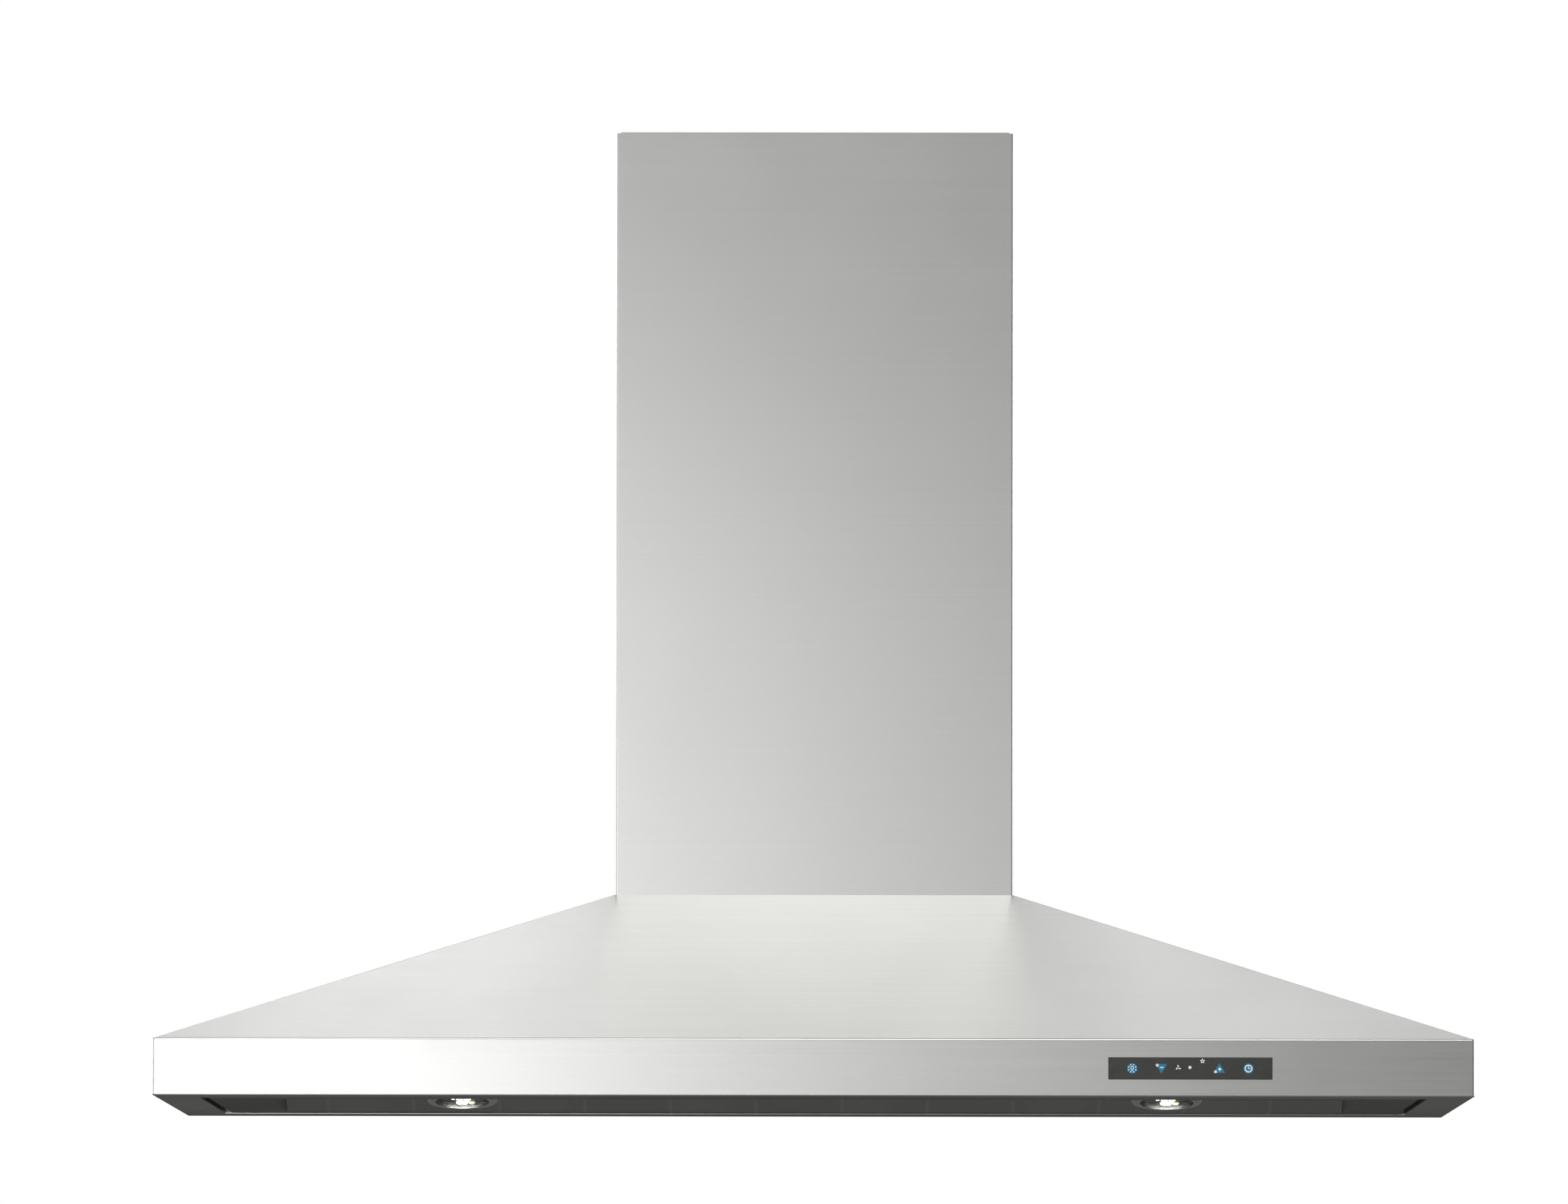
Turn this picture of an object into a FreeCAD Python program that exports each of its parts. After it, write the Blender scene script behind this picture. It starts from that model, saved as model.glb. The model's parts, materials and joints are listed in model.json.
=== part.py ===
"""Island range hood: a pyramid canopy hung from a telescoping ceiling frame.

Units are millimetres. +X is the hood's right as its user faces the controls, +Y is its rear and +Z is up.
The origin is the middle of the ceiling bracket's top face, so the hood hangs below z = 0.
Heights inside the canopy are given above the rim's lower edge and turned into z by level().
"""

import FreeCAD
import Part
import math
import os

Vector = FreeCAD.Vector

# ---------------------------------------------------------------- driving dimensions
CANOPY_WIDTH = 1067.0
CANOPY_DEPTH = 700.0
RIM_HEIGHT = 46.0
CANOPY_RISE = 124.0
CHIMNEY_WIDTH = 327.0
CHIMNEY_DEPTH = 286.0
CHIMNEY_HEIGHT = 628.0
TOTAL_HEIGHT = RIM_HEIGHT + CANOPY_RISE + CHIMNEY_HEIGHT

SHEET = 1.0  # stainless skin
BEND_RADIUS = 2.0
LOWER_BEND_RADIUS = 1.0  # fold between the rim band and its flange
GAP = 0.3  # play between parts that are only laid side by side

FLANGE_ENDS = 82.0  # width of the rim's flange along the front and rear
FLANGE_SIDES = 35.0  # and along the sides
FLANGE_INNER_X = CANOPY_WIDTH / 2 - FLANGE_SIDES
FLANGE_INNER_Y = CANOPY_DEPTH / 2 - FLANGE_ENDS
PANEL_LEVEL = 0.5  # lower face of the panels that fill the flange's opening
PANEL_LAP = 15.0  # their edges step up and lap over the flange
TOP_FLANGE = 5.0  # upper edge of the canopy, turned inwards
CANOPY_TOP = RIM_HEIGHT + CANOPY_RISE

SIDE_PANEL_INNER = 444.2  # |x| of the upstand beside the filters
GUTTER_WIDTH = 6.5  # open slot between the flange and the side panel's flat
GUTTER_DEPTH = 5.0

RECESS_HALF_DEPTH = 212.5  # |y| of the fold where the lamp panels begin to rise
LAMP_SLOPE = 12.0
LAMP_PANEL_GRADE = math.tan(math.radians(LAMP_SLOPE))
LAMP_PANEL_INNER_Y = 126.0
LAMP_PANEL_TOP = PANEL_LEVEL + (RECESS_HALF_DEPTH - LAMP_PANEL_INNER_Y) * LAMP_PANEL_GRADE
LAMP_PANEL_UPSTAND = 42.5
LAMP_X = 295.6
LAMP_Y = 169.0
LAMP_RADIUS = 30.0
LAMP_HOLE_RADIUS = 27.5

FILTER_COUNT = 3
FILTER_GAP = 1.6
FILTER_PITCH = (2 * SIDE_PANEL_INNER - FILTER_GAP) / FILTER_COUNT
FILTER_WIDTH = FILTER_PITCH - FILTER_GAP
FILTER_HALF_DEPTH = 124.0
FILTER_BOTTOM = 20.0
FILTER_THICKNESS = 18.0
FILTER_BORDER = 16.0
PIVOT_Y = FILTER_HALF_DEPTH - 4.0
PIVOT_HEIGHT = FILTER_BOTTOM + 4.0
PIVOT_RADIUS = 2.0
PIVOT_OFFSET_X = 95.0
PIVOT_PLAY = 0.08

CONTROL_X = 304.0
CONTROL_HEIGHT = 22.6
CONTROL_WIDTH = 132.0
CONTROL_TALL = 17.5

BLOWER_BOX_HALF_X = 145.0
BLOWER_BOX_HALF_Y = 125.0
BLOWER_BOX_HEIGHT = 250.0
DECK_THICKNESS = 1.5
ROTOR_Y = -14.0
ROTOR_HEIGHT = 292.0
ROTOR_RADIUS = 85.0
ROTOR_HALF_LENGTH = 75.0
SCROLL_HALF_WIDTH = 85.0
SHAFT_RADIUS = 6.0
SHAFT_PLAY = 0.05

COLLAR_RADIUS = 75.0
COLLAR_Y = 46.5
COLLAR_HEIGHT = 70.0
FLAP_AXIS_X = 5.0
FLAP_LEVEL = 40.0  # height of the flaps' pivots above the blower box

RAIL_LEG = 20.0
RAIL_SHEET = 1.5
UPPER_RAIL_X = 157.5
UPPER_RAIL_Y = 137.5
LOWER_RAIL_X = 155.7
LOWER_RAIL_Y = 135.7
UPPER_RAIL_LENGTH = 597.0
LOWER_RAIL_TOP = -60.0
UPPER_COVER_HALF_X = 160.5
UPPER_COVER_HALF_Y = 140.5
UPPER_COVER_LENGTH = 602.0
BRACKET_THICKNESS = 3.0
BRACKET_HALF_X = 159.2
BRACKET_HALF_Y = 139.2
BRACKET_OPENING_X = (-100.0, 100.0)
BRACKET_OPENING_Y = (-80.0, 126.0)
BRACKET_SKIRT = 25.0
BRACKET_MAINS_RADIUS = 14.0
CEILING_BOLT_X = 135.0
CEILING_BOLT_Y = 122.0
CEILING_BOLT_HOLE = 4.5
SLIDE_TRAVEL = 380.0
LOCK_BOLT_Z = -75.0

DIRECTIONS = {"x": Vector(1, 0, 0), "y": Vector(0, 1, 0), "z": Vector(0, 0, 1)}


# ---------------------------------------------------------------- helpers
def level(height):
    """z of a height above the rim's lower edge."""
    return height - TOTAL_HEIGHT


def block(x, y, z):
    """Box between the (low, high) pairs x, y and z."""
    return Part.makeBox(x[1] - x[0], y[1] - y[0], z[1] - z[0], Vector(x[0], y[0], z[0]))


def slab(half_x, half_y, z):
    """Box centred on the z axis."""
    return block((-half_x, half_x), (-half_y, half_y), z)


def rod(radius, centre, axis, length):
    """Cylinder that starts at centre and runs length along axis."""
    return Part.makeCylinder(radius, length, Vector(*centre), DIRECTIONS[axis])


def washer(outer, inner, centre, axis, length):
    """Cylinder with a round hole through it."""
    return rod(outer, centre, axis, length).cut(rod(inner, centre, axis, length))


def fused(shapes):
    """One solid from touching or overlapping shapes."""
    first, *rest = shapes
    return first.fuse(rest).removeSplitter() if rest else first


def extruded(outline, axis, start, length):
    """Prism from an outline of points in the plane across axis: yz for x, xz for y and xy for z."""
    place = {
        "x": lambda p: Vector(start, p[0], p[1]),
        "y": lambda p: Vector(p[0], start, p[1]),
        "z": lambda p: Vector(p[0], p[1], start),
    }[axis]
    corners = [place(p) for p in outline]
    face = Part.Face(Part.makePolygon(corners + corners[:1]))
    return face.extrude(DIRECTIONS[axis] * length)


def strip_outline(points, thickness):
    """Outline of a bent sheet whose first face follows points and whose thickness lies to their left."""
    offset = []
    for i, point in enumerate(points):
        normals = []
        for a, b in ((i - 1, i), (i, i + 1)):
            if a >= 0 and b < len(points):
                dx, dy = points[b][0] - points[a][0], points[b][1] - points[a][1]
                run = math.hypot(dx, dy)
                normals.append((-dy / run, dx / run))
        nx = sum(n[0] for n in normals) / len(normals)
        ny = sum(n[1] for n in normals) / len(normals)
        stretch = thickness / (nx * nx + ny * ny)
        offset.append((point[0] + nx * stretch, point[1] + ny * stretch))
    return list(points) + offset[::-1]


def rounded_slab(half_x, half_y, z, radius):
    """Centred box with its four upright edges rounded."""
    solid = slab(half_x, half_y, z)
    upright = [e for e in solid.Edges if abs(e.Vertexes[0].Z - e.Vertexes[1].Z) > 1.0]
    return solid.makeFillet(radius, upright)


def square_tube(half_x, half_y, z):
    """Folded rectangular tube of the stainless sheet."""
    inside = rounded_slab(half_x - SHEET, half_y - SHEET, z, BEND_RADIUS - SHEET)
    return rounded_slab(half_x, half_y, z, BEND_RADIUS).cut(inside)


def frustum(low_half, low_z, high_half, high_z):
    """Solid between two centred rectangles, given as half sizes."""
    wires = []
    for (half_x, half_y), z in ((low_half, low_z), (high_half, high_z)):
        corners = [(-half_x, -half_y), (half_x, -half_y), (half_x, half_y), (-half_x, half_y)]
        ring = [Vector(x, y, z) for x, y in corners]
        wires.append(Part.makePolygon(ring + ring[:1]))
    return Part.makeLoft(wires, True, True)


def mirrored(shape, axis):
    """Shape reflected across the plane through the z axis and across the given axis."""
    return shape.mirror(Vector(0, 0, 0), DIRECTIONS[axis])


def four_ways(shape):
    """The shape and its reflections to all four corners."""
    pair = [shape, mirrored(shape, "x")]
    return pair + [mirrored(s, "y") for s in pair]


def cable(points, radius):
    """Round cable along straight runs joined by tangent arcs."""
    path = [Vector(*p) for p in points]
    edges, start = [], path[0]
    for before, corner, after in zip(path, path[1:], path[2:]):
        into, out = corner - before, after - corner
        reach = 0.45 * min(into.Length, out.Length)
        arc_radius = reach / math.tan(into.getAngle(out) / 2)
        into.normalize()
        out.normalize()
        enter, leave = corner - into * reach, corner + out * reach
        inward = (out - into).normalize()
        middle = corner + inward * (math.hypot(reach, arc_radius) - arc_radius)
        edges.append(Part.LineSegment(start, enter).toShape())
        edges.append(Part.Arc(enter, middle, leave).toShape())
        start = leave
    edges.append(Part.LineSegment(start, path[-1]).toShape())
    spine = Part.Wire(edges)
    heading = (path[1] - path[0]).normalize()
    section = Part.Wire(Part.makeCircle(radius, path[0], heading))
    return spine.makePipeShell([section], True, False)


def save(node, shapes):
    """Writes one sub-part, made of one or more closed solids."""
    solids = [s for shape in shapes for s in shape.Solids]
    for solid in solids:
        if not solid.isValid() or solid.Volume <= 0:
            raise ValueError(f"{node} has a faulty solid")
    Part.makeCompound(solids).exportStep(os.path.join("parts", node + ".step"))


# ---------------------------------------------------------------- canopy
def canopy_slope(height, offset=0.0):
    """Half width and depth of the canopy at a height on its slopes, moved in square to the sheet by offset."""
    share = (height - RIM_HEIGHT) / CANOPY_RISE
    run_x = (CANOPY_WIDTH - CHIMNEY_WIDTH) / 2
    run_y = (CANOPY_DEPTH - CHIMNEY_DEPTH) / 2
    inset_x = offset / math.sin(math.atan(CANOPY_RISE / run_x))
    inset_y = offset / math.sin(math.atan(CANOPY_RISE / run_y))
    return CANOPY_WIDTH / 2 - run_x * share - inset_x, CANOPY_DEPTH / 2 - run_y * share - inset_y


def rim_screw_spots():
    """(x, y) of the countersunk screws that hold the underside panels to the rim's flange."""
    edge_y = FLANGE_INNER_Y + PANEL_LAP / 2
    edge_x = FLANGE_INNER_X + FLANGE_SIDES / 2
    along_front = [(x, side * edge_y) for x in (-400.0, -150.0, 150.0, 400.0) for side in (-1, 1)]
    along_sides = [(side * edge_x, y) for y in (-220.0, 0.0, 220.0) for side in (-1, 1)]
    return along_front + along_sides


RIM_SCREW_HEAD = 3.4
RIM_SCREW_SHANK = 1.7


def rim_screw_holes(play):
    """Countersunk holes, or the screws themselves when play is zero."""
    cutters = []
    for x, y in rim_screw_spots():
        head = rod(RIM_SCREW_HEAD + play, (x, y, level(0)), "z", SHEET)
        shank = rod(RIM_SCREW_SHANK + play, (x, y, level(0)), "z", 4 * SHEET)
        cutters.append(fused([head, shank]))
    return cutters


def canopy_shell():
    """Pyramid canopy with its rim band, welded from one sheet."""
    half = (CANOPY_WIDTH / 2, CANOPY_DEPTH / 2)
    top_half = (CHIMNEY_WIDTH / 2, CHIMNEY_DEPTH / 2)
    rim = slab(*half, (level(0), level(RIM_HEIGHT)))
    outer = fused([rim, frustum(half, level(RIM_HEIGHT), top_half, level(CANOPY_TOP))])
    below_neck = [e for e in outer.Edges if min(v.Z for v in e.Vertexes) < level(CANOPY_TOP) - 1.0]
    outer = outer.makeFillet(BEND_RADIUS, [e for e in below_neck if e.BoundBox.ZMax > level(1)])
    outer = outer.makeFillet(LOWER_BEND_RADIUS, [e for e in outer.Edges if e.BoundBox.ZMax < level(1)])

    inner_half = (half[0] - SHEET, half[1] - SHEET)
    bend_level = level(RIM_HEIGHT - 0.6 * SHEET)
    room = slab(*inner_half, (level(SHEET), bend_level))
    roof = frustum(inner_half, bend_level, canopy_slope(CANOPY_TOP - SHEET, SHEET), level(CANOPY_TOP - SHEET))
    mouth = slab(FLANGE_INNER_X, FLANGE_INNER_Y, (level(-1), level(SHEET + 1)))
    neck_z = (level(CANOPY_TOP - 5), level(CANOPY_TOP + 5))
    neck = slab(top_half[0] - TOP_FLANGE, top_half[1] - TOP_FLANGE, neck_z)
    window = block(
        (CONTROL_X - CONTROL_WIDTH / 2 - 0.2, CONTROL_X + CONTROL_WIDTH / 2 + 0.2),
        (-half[1] - 1, -half[1] + 2),
        (level(CONTROL_HEIGHT - CONTROL_TALL / 2 - 0.2), level(CONTROL_HEIGHT + CONTROL_TALL / 2 + 0.2)),
    )
    return outer.cut([room, roof, mouth, neck, window] + rim_screw_holes(0.1))


DECK_HALF_X = 160.0
DECK_HALF_Y = 141.0
MAINS_HOLE_X = 150.6
MAINS_HOLE_Y = 62.0
DECK_OPENING_X = 131.0
DECK_OPENING_Y = 111.0


def canopy_deck():
    """Galvanised plate under the canopy's neck that carries the rails and the blower box."""
    top = level(CANOPY_TOP - SHEET)
    plate = slab(DECK_HALF_X, DECK_HALF_Y, (top - DECK_THICKNESS, top))
    opening = slab(DECK_OPENING_X, DECK_OPENING_Y, (top - 5, top + 5))
    bolt_holes = [rod(2.2, (x, y, top - 5), "z", 10) for x, y in deck_bolt_spots()]
    cable_hole = rod(4.5, (MAINS_HOLE_X, MAINS_HOLE_Y, top - 5), "z", 10)
    return plate.cut([opening, cable_hole] + bolt_holes)


def deck_bolt_spots():
    """(x, y) of the bolts that clamp the blower box's feet to the deck."""
    return [(x, side * 117.5) for x in (-100.0, 0.0, 100.0) for side in (-1, 1)]


# ---------------------------------------------------------------- underside
def side_panel():
    """Right-hand underside panel: a grease gutter lapped over the flange, a flat, and an upstand by the filters."""
    lap_level, low, high = level(SHEET), level(PANEL_LEVEL), level(LAMP_PANEL_UPSTAND)
    outer_x = CANOPY_WIDTH / 2 - SHEET - 1.5
    slot_x = (FLANGE_INNER_X - GUTTER_WIDTH, FLANGE_INNER_X)
    end_y = FLANGE_INNER_Y + SHEET
    lap = block((slot_x[1], outer_x), (-end_y, end_y), (lap_level, lap_level + SHEET))
    trough_z = (lap_level, lap_level + GUTTER_DEPTH + SHEET)
    trough = block((slot_x[0] - SHEET, slot_x[1] + SHEET), (-end_y, end_y), trough_z)
    inner_wall = block((slot_x[0] - SHEET, slot_x[0]), (-FLANGE_INNER_Y + GAP, FLANGE_INNER_Y - GAP), (low, trough_z[1]))
    groove = block(slot_x, (-FLANGE_INNER_Y, FLANGE_INNER_Y), (low - 1, trough_z[1] - SHEET))
    flat_y = RECESS_HALF_DEPTH - GAP
    flat = block((SIDE_PANEL_INNER, slot_x[0]), (-flat_y, flat_y), (low, low + SHEET))
    top_y = LAMP_PANEL_INNER_Y + 34.0
    outline = [(-flat_y, low), (flat_y, low), (top_y, high), (-top_y, high)]
    upstand = extruded(outline, "x", SIDE_PANEL_INNER, SHEET)
    return fused([lap, trough, inner_wall, flat, upstand]).cut([groove] + rim_screw_holes(0.1))


def lamp_panel_profile():
    """yz points of the rear lamp panel's underside, from its lap over the flange to the top of its upstand."""
    return [
        (FLANGE_INNER_Y + PANEL_LAP, level(SHEET)),
        (FLANGE_INNER_Y - GAP, level(SHEET)),
        (FLANGE_INNER_Y - GAP - SHEET, level(PANEL_LEVEL)),
        (RECESS_HALF_DEPTH, level(PANEL_LEVEL)),
        (LAMP_PANEL_INNER_Y, level(LAMP_PANEL_TOP)),
        (LAMP_PANEL_INNER_Y, level(LAMP_PANEL_UPSTAND)),
    ]


def lamp_surface_height(y):
    """Height of the lamp panels' underside at a distance y from the middle."""
    return PANEL_LEVEL + (RECESS_HALF_DEPTH - y) * LAMP_PANEL_GRADE


def on_lamp_panels(shape):
    """Copies of a lamp piece, drawn with its face at z = 0 looking down, placed at the four lamps."""
    placed = []
    for side in (-1, 1):
        tilted = shape.copy()
        tilted.rotate(Vector(0, 0, 0), Vector(1, 0, 0), -side * LAMP_SLOPE)
        for x in (-LAMP_X, LAMP_X):
            piece = tilted.copy()
            piece.translate(Vector(x, side * LAMP_Y, level(lamp_surface_height(LAMP_Y))))
            placed.append(piece)
    return placed


def pivot_spots():
    """x of every filter pivot."""
    return [filter_x(i) + s * PIVOT_OFFSET_X for i in range(FILTER_COUNT) for s in (-1, 1)]


def lamp_panel(rear):
    """Underside panel that rises to the filters, with two lamp holes; the front one is notched for the latches."""
    profile = lamp_panel_profile()[::-1]
    slope_half_x = SIDE_PANEL_INNER - GAP
    flat_half_x = FLANGE_INNER_X - GUTTER_WIDTH - SHEET - GAP
    flat_profile = [(RECESS_HALF_DEPTH, level(PANEL_LEVEL))] + profile[3:]
    panel = fused([
        extruded(strip_outline(profile, SHEET), "x", -slope_half_x, 2 * slope_half_x),
        extruded(strip_outline(flat_profile, SHEET), "x", -flat_half_x, 2 * flat_half_x),
    ])
    if not rear:
        panel = mirrored(panel, "y")
        panel = panel.cut([latch_notch(i) for i in range(FILTER_COUNT)])
    lamp_hole = rod(LAMP_HOLE_RADIUS, (0, 0, -20), "z", 40)
    return panel.cut(on_lamp_panels(lamp_hole) + rim_screw_holes(0.1))


def filter_x(index):
    """x of a filter's middle."""
    return (index - (FILTER_COUNT - 1) / 2) * FILTER_PITCH


LATCH_NOTCH_WIDTH = 24.0


def latch_notch(index):
    """Gap in the front lamp panel's inner edge where a latch tongue comes through."""
    x = filter_x(index)
    return block(
        (x - LATCH_NOTCH_WIDTH / 2, x + LATCH_NOTCH_WIDTH / 2),
        (-LAMP_PANEL_INNER_Y - 6, -LAMP_PANEL_INNER_Y + 2),
        (level(LAMP_PANEL_TOP - 5), level(FILTER_BOTTOM + 12)),
    )


def filter_keeper(index):
    """Spring-steel keeper behind the notch; its lip catches the latch tongue from below."""
    x = filter_x(index)
    spring = 0.6
    face = -LAMP_PANEL_INNER_Y - SHEET
    points = [
        (face, level(LAMP_PANEL_UPSTAND - 1)),
        (face, level(FILTER_BOTTOM + 10)),
        (face - 3.0, level(FILTER_BOTTOM + 7)),
        (face - 3.0, level(FILTER_BOTTOM + 2.6)),
        (face + 1.0, level(FILTER_BOTTOM + 2.6)),
    ]
    outline = strip_outline(points, -spring)
    return extruded(outline, "x", x - 9, 18)


def pivot_brackets():
    """Eyes on the rear lamp panel's upstand that hold the filters' pivot pins."""
    brackets = []
    for x in pivot_spots():
        eye = rod(4.0, (x - 5, PIVOT_Y, level(PIVOT_HEIGHT)), "x", 10)
        arm_z = (level(PIVOT_HEIGHT), level(PIVOT_HEIGHT + 4))
        arm = block((x - 5, x + 5), (PIVOT_Y, LAMP_PANEL_INNER_Y), arm_z)
        foot = block(
            (x - 9, x + 9),
            (LAMP_PANEL_INNER_Y - 1.4, LAMP_PANEL_INNER_Y),
            (level(PIVOT_HEIGHT), level(LAMP_PANEL_UPSTAND - 1)),
        )
        bore = rod(PIVOT_RADIUS + PIVOT_PLAY, (x - 6, PIVOT_Y, level(PIVOT_HEIGHT)), "x", 12)
        brackets.append(fused([eye, arm, foot]).cut(bore))
    return brackets


def crossbars():
    """Two hat-section bars over the joints between the filters, tying the lamp panels together."""
    bars = []
    half = LAMP_PANEL_INNER_Y
    base = FILTER_BOTTOM + FILTER_THICKNESS + 2.0
    for i in range(FILTER_COUNT - 1):
        x = (filter_x(i) + filter_x(i + 1)) / 2
        points = [(-16, 0), (-8, 0), (-8, 10), (8, 10), (8, 0), (16, 0)]
        outline = strip_outline([(x + p[0], level(base) + p[1]) for p in points], 1.2)
        bars.append(extruded(outline, "y", -half, 2 * half))
    return bars


# ---------------------------------------------------------------- filters
LATCH_BLOCK_HALF = 33.0
LATCH_BLOCK_DEPTH = 40.0
LATCH_POCKET_HALF = 21.0
LATCH_POCKET_DEPTH = 8.3
LATCH_SLIDE_HALF = 20.5
TONGUE_HALF = 8.0
TONGUE_REACH = 1.6  # stops just short of the keeper's lip
TONGUE_BOTTOM = FILTER_BOTTOM + 4.0
TONGUE_TOP = TONGUE_BOTTOM + 3.0


def latch_block(index):
    """Solid at the front of a filter that houses its latch."""
    x, front = filter_x(index), -FILTER_HALF_DEPTH
    return block(
        (x - LATCH_BLOCK_HALF, x + LATCH_BLOCK_HALF),
        (front, front + LATCH_BLOCK_DEPTH),
        (level(FILTER_BOTTOM), level(FILTER_BOTTOM + FILTER_THICKNESS)),
    )


def filter_frame(index):
    """Stainless frame of one baffle filter, with its latch block and two pivot pins."""
    x = filter_x(index)
    half_x = FILTER_WIDTH / 2
    low, high = level(FILTER_BOTTOM), level(FILTER_BOTTOM + FILTER_THICKNESS)
    ring = block((x - half_x, x + half_x), (-FILTER_HALF_DEPTH, FILTER_HALF_DEPTH), (low, high))
    window = block(
        (x - half_x + FILTER_BORDER, x + half_x - FILTER_BORDER),
        (-FILTER_HALF_DEPTH + FILTER_BORDER, FILTER_HALF_DEPTH - FILTER_BORDER),
        (low - 1, high + 1),
    )
    front = -FILTER_HALF_DEPTH
    pocket = block(
        (x - LATCH_POCKET_HALF, x + LATCH_POCKET_HALF),
        (front + 6, front + LATCH_BLOCK_DEPTH - 4),
        (low - 1, low + LATCH_POCKET_DEPTH),
    )
    tongue_slot = block(
        (x - TONGUE_HALF - 0.4, x + TONGUE_HALF + 0.4),
        (front - 1, front + 8),
        (level(TONGUE_BOTTOM - 0.3), level(TONGUE_TOP + 0.3)),
    )
    cuts = [pocket, tongue_slot]
    pins = []
    for side in (-1, 1):
        at = x + side * PIVOT_OFFSET_X
        cuts.append(block((at - 11, at + 11), (PIVOT_Y - 8, FILTER_HALF_DEPTH + 1), (low - 1, high + 1)))
        pins.append(rod(PIVOT_RADIUS, (at - 12, PIVOT_Y, level(PIVOT_HEIGHT)), "x", 24))
    body = fused([ring.cut(window), latch_block(index)]).cut(cuts)
    return fused([body] + pins)


BAFFLE_PITCH = 38.0
BAFFLE_STEPS = 6
BAFFLE_SHEET = 0.8


def baffles(index):
    """Trapezium channels of one filter: lower ones open upwards, upper ones cover the slots between them."""
    low = level(FILTER_BOTTOM + 1.0)
    reach = FILTER_HALF_DEPTH - FILTER_BORDER
    lower = [(-14, 8.5), (-8.5, 0), (8.5, 0), (14, 8.5)]
    upper = [(-14, 7.0), (-8.5, 15.5), (8.5, 15.5), (14, 7.0)]
    channels = []
    for step in range(-BAFFLE_STEPS, BAFFLE_STEPS + 1):
        middle = filter_x(index) + step * BAFFLE_PITCH / 2
        profile, thickness = (lower, BAFFLE_SHEET) if step % 2 == 0 else (upper, -BAFFLE_SHEET)
        outline = strip_outline([(middle + x, low + z) for x, z in profile], thickness)
        channels.append(extruded(outline, "y", -reach, 2 * reach).cut(latch_block(index)))
    return channels


def filter_latch(index):
    """Finger-pull slide with the tongue that hooks over the keeper."""
    x = filter_x(index)
    front = -FILTER_HALF_DEPTH
    plate = block(
        (x - LATCH_SLIDE_HALF, x + LATCH_SLIDE_HALF),
        (front + 6.5, front + 6.5 + 22.0),
        (level(FILTER_BOTTOM + 3), level(FILTER_BOTTOM + 8)),
    )
    tongue = block(
        (x - TONGUE_HALF, x + TONGUE_HALF),
        (front - TONGUE_REACH, front + 8),
        (level(TONGUE_BOTTOM), level(TONGUE_TOP)),
    )
    scoop = block(
        (x - 15, x + 15),
        (front + 13, front + 25),
        (level(FILTER_BOTTOM + 2), level(FILTER_BOTTOM + 6)),
    )
    lip = block(
        (x - 16, x + 16),
        (front + 10, front + 13),
        (level(FILTER_BOTTOM - 2), level(FILTER_BOTTOM + 4)),
    )
    return fused([plate.cut(scoop), tongue, lip])


# ---------------------------------------------------------------- lamps
def lamp_bezel():
    """Stepped chrome ring that drops into the panel."""
    face = washer(LAMP_RADIUS, 22.5, (0, 0, -1.6), "z", 1.6)
    step = washer(25.5, 22.5, (0, 0, -2.4), "z", 0.8)
    neck = washer(LAMP_HOLE_RADIUS - GAP, 25.0, (0, 0, 0), "z", 6.0)
    ring = fused([face, step, neck])
    outline = 2 * math.pi * LAMP_RADIUS
    rim = [e for e in ring.Edges if abs(e.BoundBox.ZMin + 1.6) < 0.01 and abs(e.Length - outline) < 1]
    return ring.makeFillet(0.8, rim)


def lamp_lens():
    """Clear disc behind the bezel."""
    return rod(24.8, (0, 0, 0.1), "z", 1.6)


LED_SIZE = 5.0
LED_PITCH = 7.0


def lamp_led_board():
    """Round board with four chips, looking down through the lens."""
    board = rod(22.0, (0, 0, 3.6), "z", 1.6)
    half = LED_SIZE / 2
    chips = []
    for x in (-LED_PITCH / 2, LED_PITCH / 2):
        for y in (-LED_PITCH / 2, LED_PITCH / 2):
            chips.append(block((x - half, x + half), (y - half, y + half), (2.6, 3.8)))
    return fused([board] + chips)


def lamp_body():
    """Finned aluminium cup over the board, with two leaf clips that spring out above the panel."""
    cup = rod(26.0, (0, 0, 6.0), "z", 10.0).cut(rod(24.0, (0, 0, 5.0), "z", 2.5))
    fins = [block((-20, 20), (y - 0.8, y + 0.8), (15.5, 20.0)) for y in (-12.0, -4.0, 4.0, 12.0)]
    clips = [block((s * 28.0 - 2.2, s * 28.0 + 2.2), (-4, 4), (10.0, 11.0)) for s in (-1, 1)]
    return fused([cup] + fins + clips)


# ---------------------------------------------------------------- controls and electrics
def control_glass():
    """Touch glass, set a hair behind the rim's face."""
    front = -CANOPY_DEPTH / 2 + 0.2
    glass = block(
        (CONTROL_X - CONTROL_WIDTH / 2, CONTROL_X + CONTROL_WIDTH / 2),
        (front, front + 3.0),
        (level(CONTROL_HEIGHT - CONTROL_TALL / 2), level(CONTROL_HEIGHT + CONTROL_TALL / 2)),
    )
    face = [e for e in glass.Edges if abs(e.BoundBox.YMax - front) < 0.01]
    return glass.makeFillet(0.4, face)


ICON_THICKNESS = 0.1
ICON_RADIUS = 4.1
KEY_OFFSET = 46.9  # keys at both ends of the strip
STEP_OFFSET = 23.4  # slower and faster keys
DOT_OFFSET = 9.8


def touch_icons():
    """Blue key marks on the glass: two discs, and triangles for slower and faster."""
    face = -CANOPY_DEPTH / 2 + 0.2 - ICON_THICKNESS
    middle = level(CONTROL_HEIGHT)
    marks = [rod(ICON_RADIUS, (CONTROL_X + s * KEY_OFFSET, face, middle), "y", ICON_THICKNESS) for s in (-1, 1)]
    for side in (-1, 1):
        x = CONTROL_X + side * STEP_OFFSET
        base = middle - side * 3.6
        outline = [(x - 4.6, base), (x + 4.6, base), (x, base + side * 8.0)]
        marks.append(extruded(outline, "y", face, ICON_THICKNESS))
    return marks


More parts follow.
